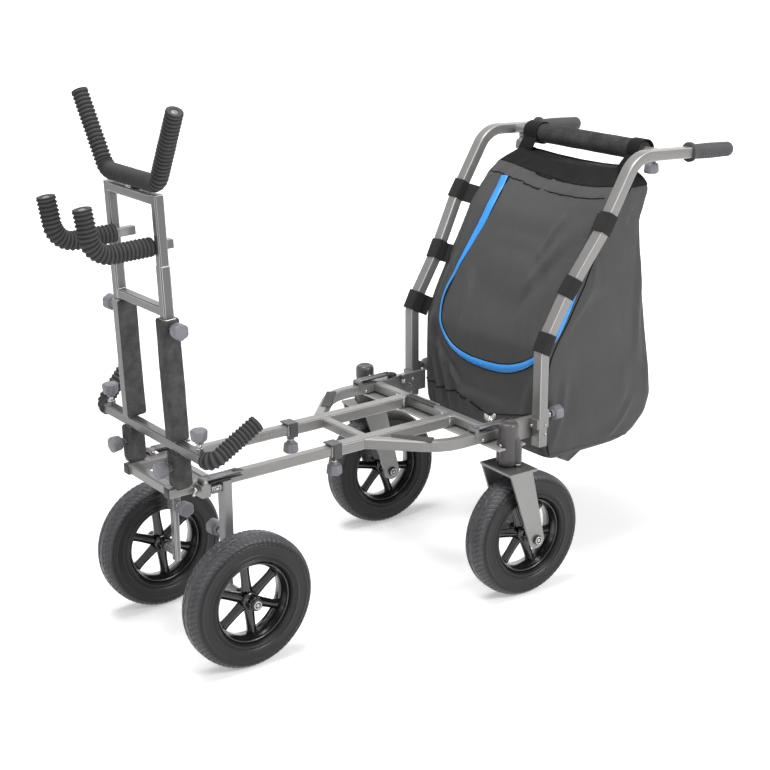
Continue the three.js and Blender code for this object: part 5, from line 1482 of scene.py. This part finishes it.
    def loops(self):
        """Two cloth loops: a band round the padded bar and a tail down to the bag's mouth."""
        bar = (box_middle("bar_pad") - at([0, 0, 0])) / MM * (1, 0, 1)
        for name, side in SIDES.items():
            middle_y, half, spread = (146, 20, 0.08) if side > 0 else (-163, 16, 0.35)
            y = middle_y + np.linspace(-half, half, 20)
            radius = np.pad(np.full(20, 24.4), 1, constant_values=22.0)[:, None, None]
            place = np.pad(y, 1, "edge")[:, None, None] * np.array([0, 1, 0])
            band = at(bar + radius * ring_of(48, (1, 0, 0), UP) + place)
            parts = [skin_arrays(band, along=True, size=(0.15, 0.034))]
            share = np.linspace(0, 1, 14)
            x = (bar[0] - 22.5) * (1 - share) + 936.0 * share - 4 * np.sin(np.pi * share)
            z = (bar[2] - 8) * (1 - share) + 804.0 * share
            across = (y - middle_y)[:, None] * (1 + spread * share) + (middle_y - side * 150) * (1 - share)
            face = np.stack([np.broadcast_to(x, (20, 14)), side * 150 + across, np.broadcast_to(z, (20, 14))], -1)
            both = np.concatenate([face, (face + (2.6, 0, 0))[:, ::-1]], axis=1)
            parts.append(skin_arrays(at(both), size=(0.05, 0.034)))
            seat(f"bar_loop_{name}", parts, "handle_frame", "band")


# Small fittings


def slab(low, high, corner=0.8):
    """Surface of a block between two corners of a box whose edges are rounded, in millimetres."""
    low, high = np.minimum(low, high), np.maximum(low, high)
    size, middle = high - low, (low + high) / 2
    corner = min(corner, 0.49 * min(size))
    rings = []
    for z, grow in ((low[2], -corner), (low[2] + corner, 0.0), (high[2] - corner, 0.0), (high[2], -corner)):
        outline = rounded_square(size[0] + 2 * grow, size[1] + 2 * grow, corner, 3) + middle[:2]
        rings.append(np.column_stack([outline, np.full(len(outline), z)]))
    return skin_arrays(at(rings))


def spun(angle, points, about):
    """Points turned about an upright line: x' = x cos - y sin, y' = x sin + y cos."""
    c, s = math.cos(angle), math.sin(angle)
    x, y, z = np.moveaxis(np.asarray(points, float) - about, -1, 0)
    return about + np.stack([c * x - s * y, s * x + c * y, z], -1)


# Profiles of a domed bolt head and a hexagonal nut: radius, height; millimetres
DOME = np.array([(0.1, 0.0), (3.4, 0.0), (3.4, 0.8), (2.9, 2.0), (1.7, 2.8), (0.1, 3.1)])
HEX = [(0.1, 0.0), (5.6, 0.0), (6.2, 0.6), (6.2, 3.8), (5.6, 4.4), (0.1, 4.4)]
# Corners in plan of the two tread plates on the slanted tubes, from the axle; millimetres
PLATES = {
    "left": ((371, -111), (414, -184), (434, -167), (378, -100)),
    "right": ((367, 125), (431, 195), (447, 182), (380, 106)),
}


class TROLLEY_OT_fittings(Operator):
    """Makes the small fittings: bolts, wing nuts, tread plates, weld pins, latch springs and seats, and rail plugs"""

    bl_idname = "trolley.fittings"
    bl_label = "Small fittings"

    def execute(self, context):
        for name, side in SIDES.items():
            self.tread_plate(name)
            self.rear_fittings(name, side)
            self.front_fittings(name, side)
        strip = [slab((543.4, -19, 349.6), (557.6, 65, 352.6))]
        strip += [slab((544.6, y, 352.5), (556.4, y + 1.2, 353.1), 0.2) for y in np.arange(-16, 62, 4.0)]
        seat("lid_strip", strip, "chassis", "clamp")
        return {"FINISHED"}

    def tread_plate(self, name):
        """A thin plate between four corners on the slanted tube; its lozenges are |sin a sin b| raised to a power."""
        a, b, c, d = (np.array(corner, float) for corner in PLATES[name])
        u, v = np.meshgrid(np.linspace(0, 1, 90), np.linspace(0, 1, 36), indexing="ij")
        plan = (1 - v[..., None]) * (a + u[..., None] * (b - a)) + v[..., None] * (d + u[..., None] * (c - d))
        slope = plan @ np.array([[0.52, 0.52], [0.52, -0.52]])
        lozenge = np.abs(np.sin(slope[..., 0]) * np.sin(slope[..., 1])) ** 2.5
        rim = smooth(0, 0.03, u) * (1 - smooth(0.97, 1, u)) * smooth(0, 0.08, v) * (1 - smooth(0.92, 1, v))
        z = 349.0 + 0.8 * rim + 0.9 * lozenge * rim
        face, under = (np.dstack([plan, height]) for height in (z, np.full_like(z, 347.6)))
        both = np.concatenate([face, under[:, ::-1]], axis=1)
        seat(f"tread_plate_{name}", [skin_arrays(at(both))], "chassis", "plate_rubber")

    def rear_fittings(self, name, side):
        """Weld pins and bolt heads of the rear chassis, a wing nut or a clamping lever, and the seats of the latch."""
        pin = [(0.1, 0), (2.6, 0), (2.6, 24.5), (2.1, 25.8), (0.1, 26.4)]
        parts = [round_part(at((537.2, side * y, 324)), UP, pin, 16) for y in (63.4, 88.6)]
        x, y = PIVOT_X, side * PIVOT_Y
        heads = [((x - 19.4, y + 0.7, 327), (-1, 0.04, 0)), ((x - 2, y - side * 20, 352), (0, -side, 0))]
        for x, z in ((527, 333), (655, 336)):
            heads.append(((x, side * (REAR_LATCH_Y + 10.1), z), (0, side, 0)))
            heads.append(((x, side * (REAR_LATCH_Y - 10.2), z), (0, -side, 0)))
        parts += [round_part(at(place), way, DOME, 16) for place, way in heads]
        parts += [round_part(at((676, side * 222.2, z)), (0, side, 0), DOME * 0.8, 16) for z in (318, 338)]
        base = np.array([581.0, side * 162, 348.5]) if side < 0 else np.array([625.0, side * 183.5, 338.0])
        axis = unit([0.1, 0.2, 1.0] if side < 0 else [-0.1, -side, 0.25])
        hub = [
            (0.1, -6), (3.0, -6), (3.0, 0), (6.6, 0.2), (6.8, 2.0),
            (5.4, 7.6), (4.6, 8.2), (3.0, 8.3), (2.8, 11.0), (0.1, 11.4),
        ]
        parts.append(round_part(at(base), axis, hub))
        other = unit(np.cross(axis, (0.7, 0.5, 0.4)))
        t = np.linspace(0, 1, 16)[:, None]
        wings, large = [], 1.0 if side < 0 else 1.5
        for way in (-1, 1):
            path = base + axis * (2 + 14 * t) * large + other * way * (5.0 + 5.5 * t) * large
            width = large * (0.6 + 4.4 * np.sin(np.pi * (0.12 + 0.86 * t)) ** 0.7)
            blade = circle(16) * np.concatenate([np.full_like(t, 1.5), width], 1)[:, None]
            wings.append(skin_arrays(carried(at(path), blade * MM, other)))
        seat(f"wings_{name}", wings, "chassis", "steel" if side < 0 else "latch")
        seat(f"rear_bolts_{name}", parts, "chassis", "steel")
        if side < 0:
            seat("wing_nut_post", [slab((573, -170, 343), (589, -154, 349.5), 2)], "chassis", "clamp")
        dark = [
            slab((512, side * 203.8, 347.9), (556, side * 184.2, 350.6), 1),
            slab((596, side * 201.2, 348.2), (612, side * 186.8, 356.6), 1.2),
        ]
        seat(f"rear_latch_seat_{name}", dark, "chassis", "clamp")

    def front_fittings(self, name, side):
        """Bolt heads, nut and coil spring of the front latch, its seat and the rail's plug; the spring is a helix."""
        y = side * FRONT_LATCH_Y
        parts = [round_part(at((x, side * 107.2, 334)), (0, side, 0), DOME, 16) for x in (-70.0, -22.0)]
        coil = np.linspace(0, 2 * np.pi * 6, 240)
        path = np.stack([-33 + coil / coil[-1] * 20, y + 9.2 * np.cos(coil), 333 + 9.2 * np.sin(coil)], 1)
        parts.append(skin_arrays(carried(at(path), circle(10) * 1.05 * MM, (1, 0, 0))))
        for way in (-side, side):
            parts.append(round_part(at((-46, y + way * 10.8, 352.2)), (0, way, 0), DOME * 0.9, 14))
        parts.append(round_part(at((-60, y, 338)), (-1, 0, 0), HEX, 6))
        seat(f"latch_spring_{name}", parts, "front_chassis", "steel")
        rail = side * RAIL_Y
        plugs = [
            slab((-109.2, rail - 9.4, 327.6), (-107.2, rail + 9.4, 346.4)),
            slab((-32, side * 108.4, 347.6), (34, side * 87.6, 349.2), 1.0),
        ]
        seat(f"rail_plug_{name}", plugs, "front_chassis", "plug")


class TROLLEY_OT_latches(Operator):
    """Makes the pressed levers of the toggle latches"""

    bl_idname = "trolley.latches"
    bl_label = "Latch levers"

    def execute(self, context):
        # Distance from the middle plane, place of the hinge, length of the lever and its height; millimetres
        places = {"front": (FRONT_LATCH_Y, -46.0, 78.0, 352.2), "rear": (REAR_LATCH_Y, 512.0, 90.0, 353.2)}
        for name, side in SIDES.items():
            for kind, (offset, hinge, length, z) in places.items():
                y, tip, node = side * offset, hinge + length, f"{kind}_latch_{name}"
                rims = [
                    slab((hinge + 6, rim - 0.8, z + 1.2), (tip - 2, rim + 0.8, z + 6.2), 0.7)
                    for rim in (y - 7.7, y + 7.7)
                ]
                rims.append(slab((hinge + 12, y - 3.6, z + 3.9), (tip - 24, y + 3.6, z + 5.2), 0.6))
                seat(f"{node}_rims", rims, node, "latch")
                tab = slab((tip - 14, y - 6.4, z + 3.6), (tip + 3.4, y + 6.4, z + 5.6), 1.0)
                seat(f"{node}_tab", [tab], node, "plug")
        return {"FINISHED"}


class TROLLEY_OT_housings(Operator):
    """Makes the swivel housings with their domed caps and bolts"""

    bl_idname = "trolley.housings"
    bl_label = "Swivel housings"

    def execute(self, context):
        profile = [
            (10.5, 282.4), (14.5, 282.4), (15.0, 283.0), (15.0, 286.0), (19.2, 286.6), (19.8, 288.0),
            (19.6, 300.0), (19.0, 345.0), (19.6, 346.0), (19.9, 348.0), (19.8, 364.0), (19.2, 367.6),
            (17.4, 370.6), (15.2, 372.2), (13.8, 372.6), (12.6, 372.0), (10.0, 370.6), (0.3, 370.2),
        ]
        nut = [(0.1, 0.0), (6.4, 0.0), (7.0, 0.6), (7.0, 6.2), (6.4, 6.8), (0.1, 6.8)]
        outline = rounded_square(1.0, 1.0, 0.28)
        z = np.linspace(290, 352, 24)[:, None]
        grow = 1 - smooth(322, 352, z)
        for name in SIDES:
            spot = (box_middle(f"pivot_housing_{name}") - at([0, 0, 0])) / MM * (1, 1, 0)
            parts = [round_part(at(spot), UP, profile, 48)]
            for turn, reach in ((-0.95, 27.0), (math.pi - 0.95, 23.0)):
                depth = 17.0 + (reach - 17.0) * grow
                x = 8.0 + (outline[:, 0] + 0.5) * (depth - 8.0)
                lug = np.stack([x, outline[:, 1] * (14.0 + 3.0 * grow), np.broadcast_to(z, x.shape)], -1)
                parts.append(skin_arrays(at(spun(turn, lug + spot, spot))))
            place = spun(-0.95, spot + (19.5, 0, 283.0), spot)
            seat(f"swivel_nut_{name}", [round_part(at(place), UP, nut, 6)], "chassis", "steel")
            seat(f"swivel_cap_{name}", parts, "chassis", "cap", [f"pivot_housing_{name}"])
        return {"FINISHED"}


STEPS = (
    ("finishes", TROLLEY_OT_finishes),
    ("stage", TROLLEY_OT_stage),
    ("frame_finish", TROLLEY_OT_frame_finish),
    ("tyres", TROLLEY_OT_tyres),
    ("rims", TROLLEY_OT_rims),
    ("axle_nuts", TROLLEY_OT_axle_nuts),
    ("ribbed_foam", TROLLEY_OT_ribbed_foam),
    ("foam_sleeves", TROLLEY_OT_foam_sleeves),
    ("knobs", TROLLEY_OT_knobs),
    ("handles", TROLLEY_OT_handles),
    ("bar_pad", TROLLEY_OT_bar_pad),
    ("bag", TROLLEY_OT_bag),
    ("housings", TROLLEY_OT_housings),
    ("latches", TROLLEY_OT_latches),
    ("fittings", TROLLEY_OT_fittings),
)


class TROLLEY_PT_panel(Panel):
    """Lists the trolley's settings and its steps"""

    bl_idname = "TROLLEY_PT_panel"
    bl_label = "Fishing trolley"
    bl_space_type = "VIEW_3D"
    bl_region_type = "UI"
    bl_category = "Trolley"

    def draw(self, context):
        layout = self.layout
        for group in (context.scene.trolley_colours, context.scene.trolley_sizes):
            column = layout.column()
            for name in group.__annotations__:
                column.prop(group, name)
        for _, step in STEPS:
            layout.operator(step.bl_idname)


CLASSES = (TrolleyColours, TrolleySizes, *(step for _, step in STEPS), TROLLEY_PT_panel)


def register():
    for made in CLASSES:
        bpy.utils.register_class(made)
    bpy.types.Scene.trolley_colours = PointerProperty(type=TrolleyColours)
    bpy.types.Scene.trolley_sizes = PointerProperty(type=TrolleySizes)


def unregister():
    del bpy.types.Scene.trolley_sizes
    del bpy.types.Scene.trolley_colours
    for made in reversed(CLASSES):
        bpy.utils.unregister_class(made)


def main():
    """Registers the add-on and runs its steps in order."""
    register()
    for name, _ in STEPS:
        getattr(bpy.ops.trolley, name)()


if __name__ == "__main__":
    main()
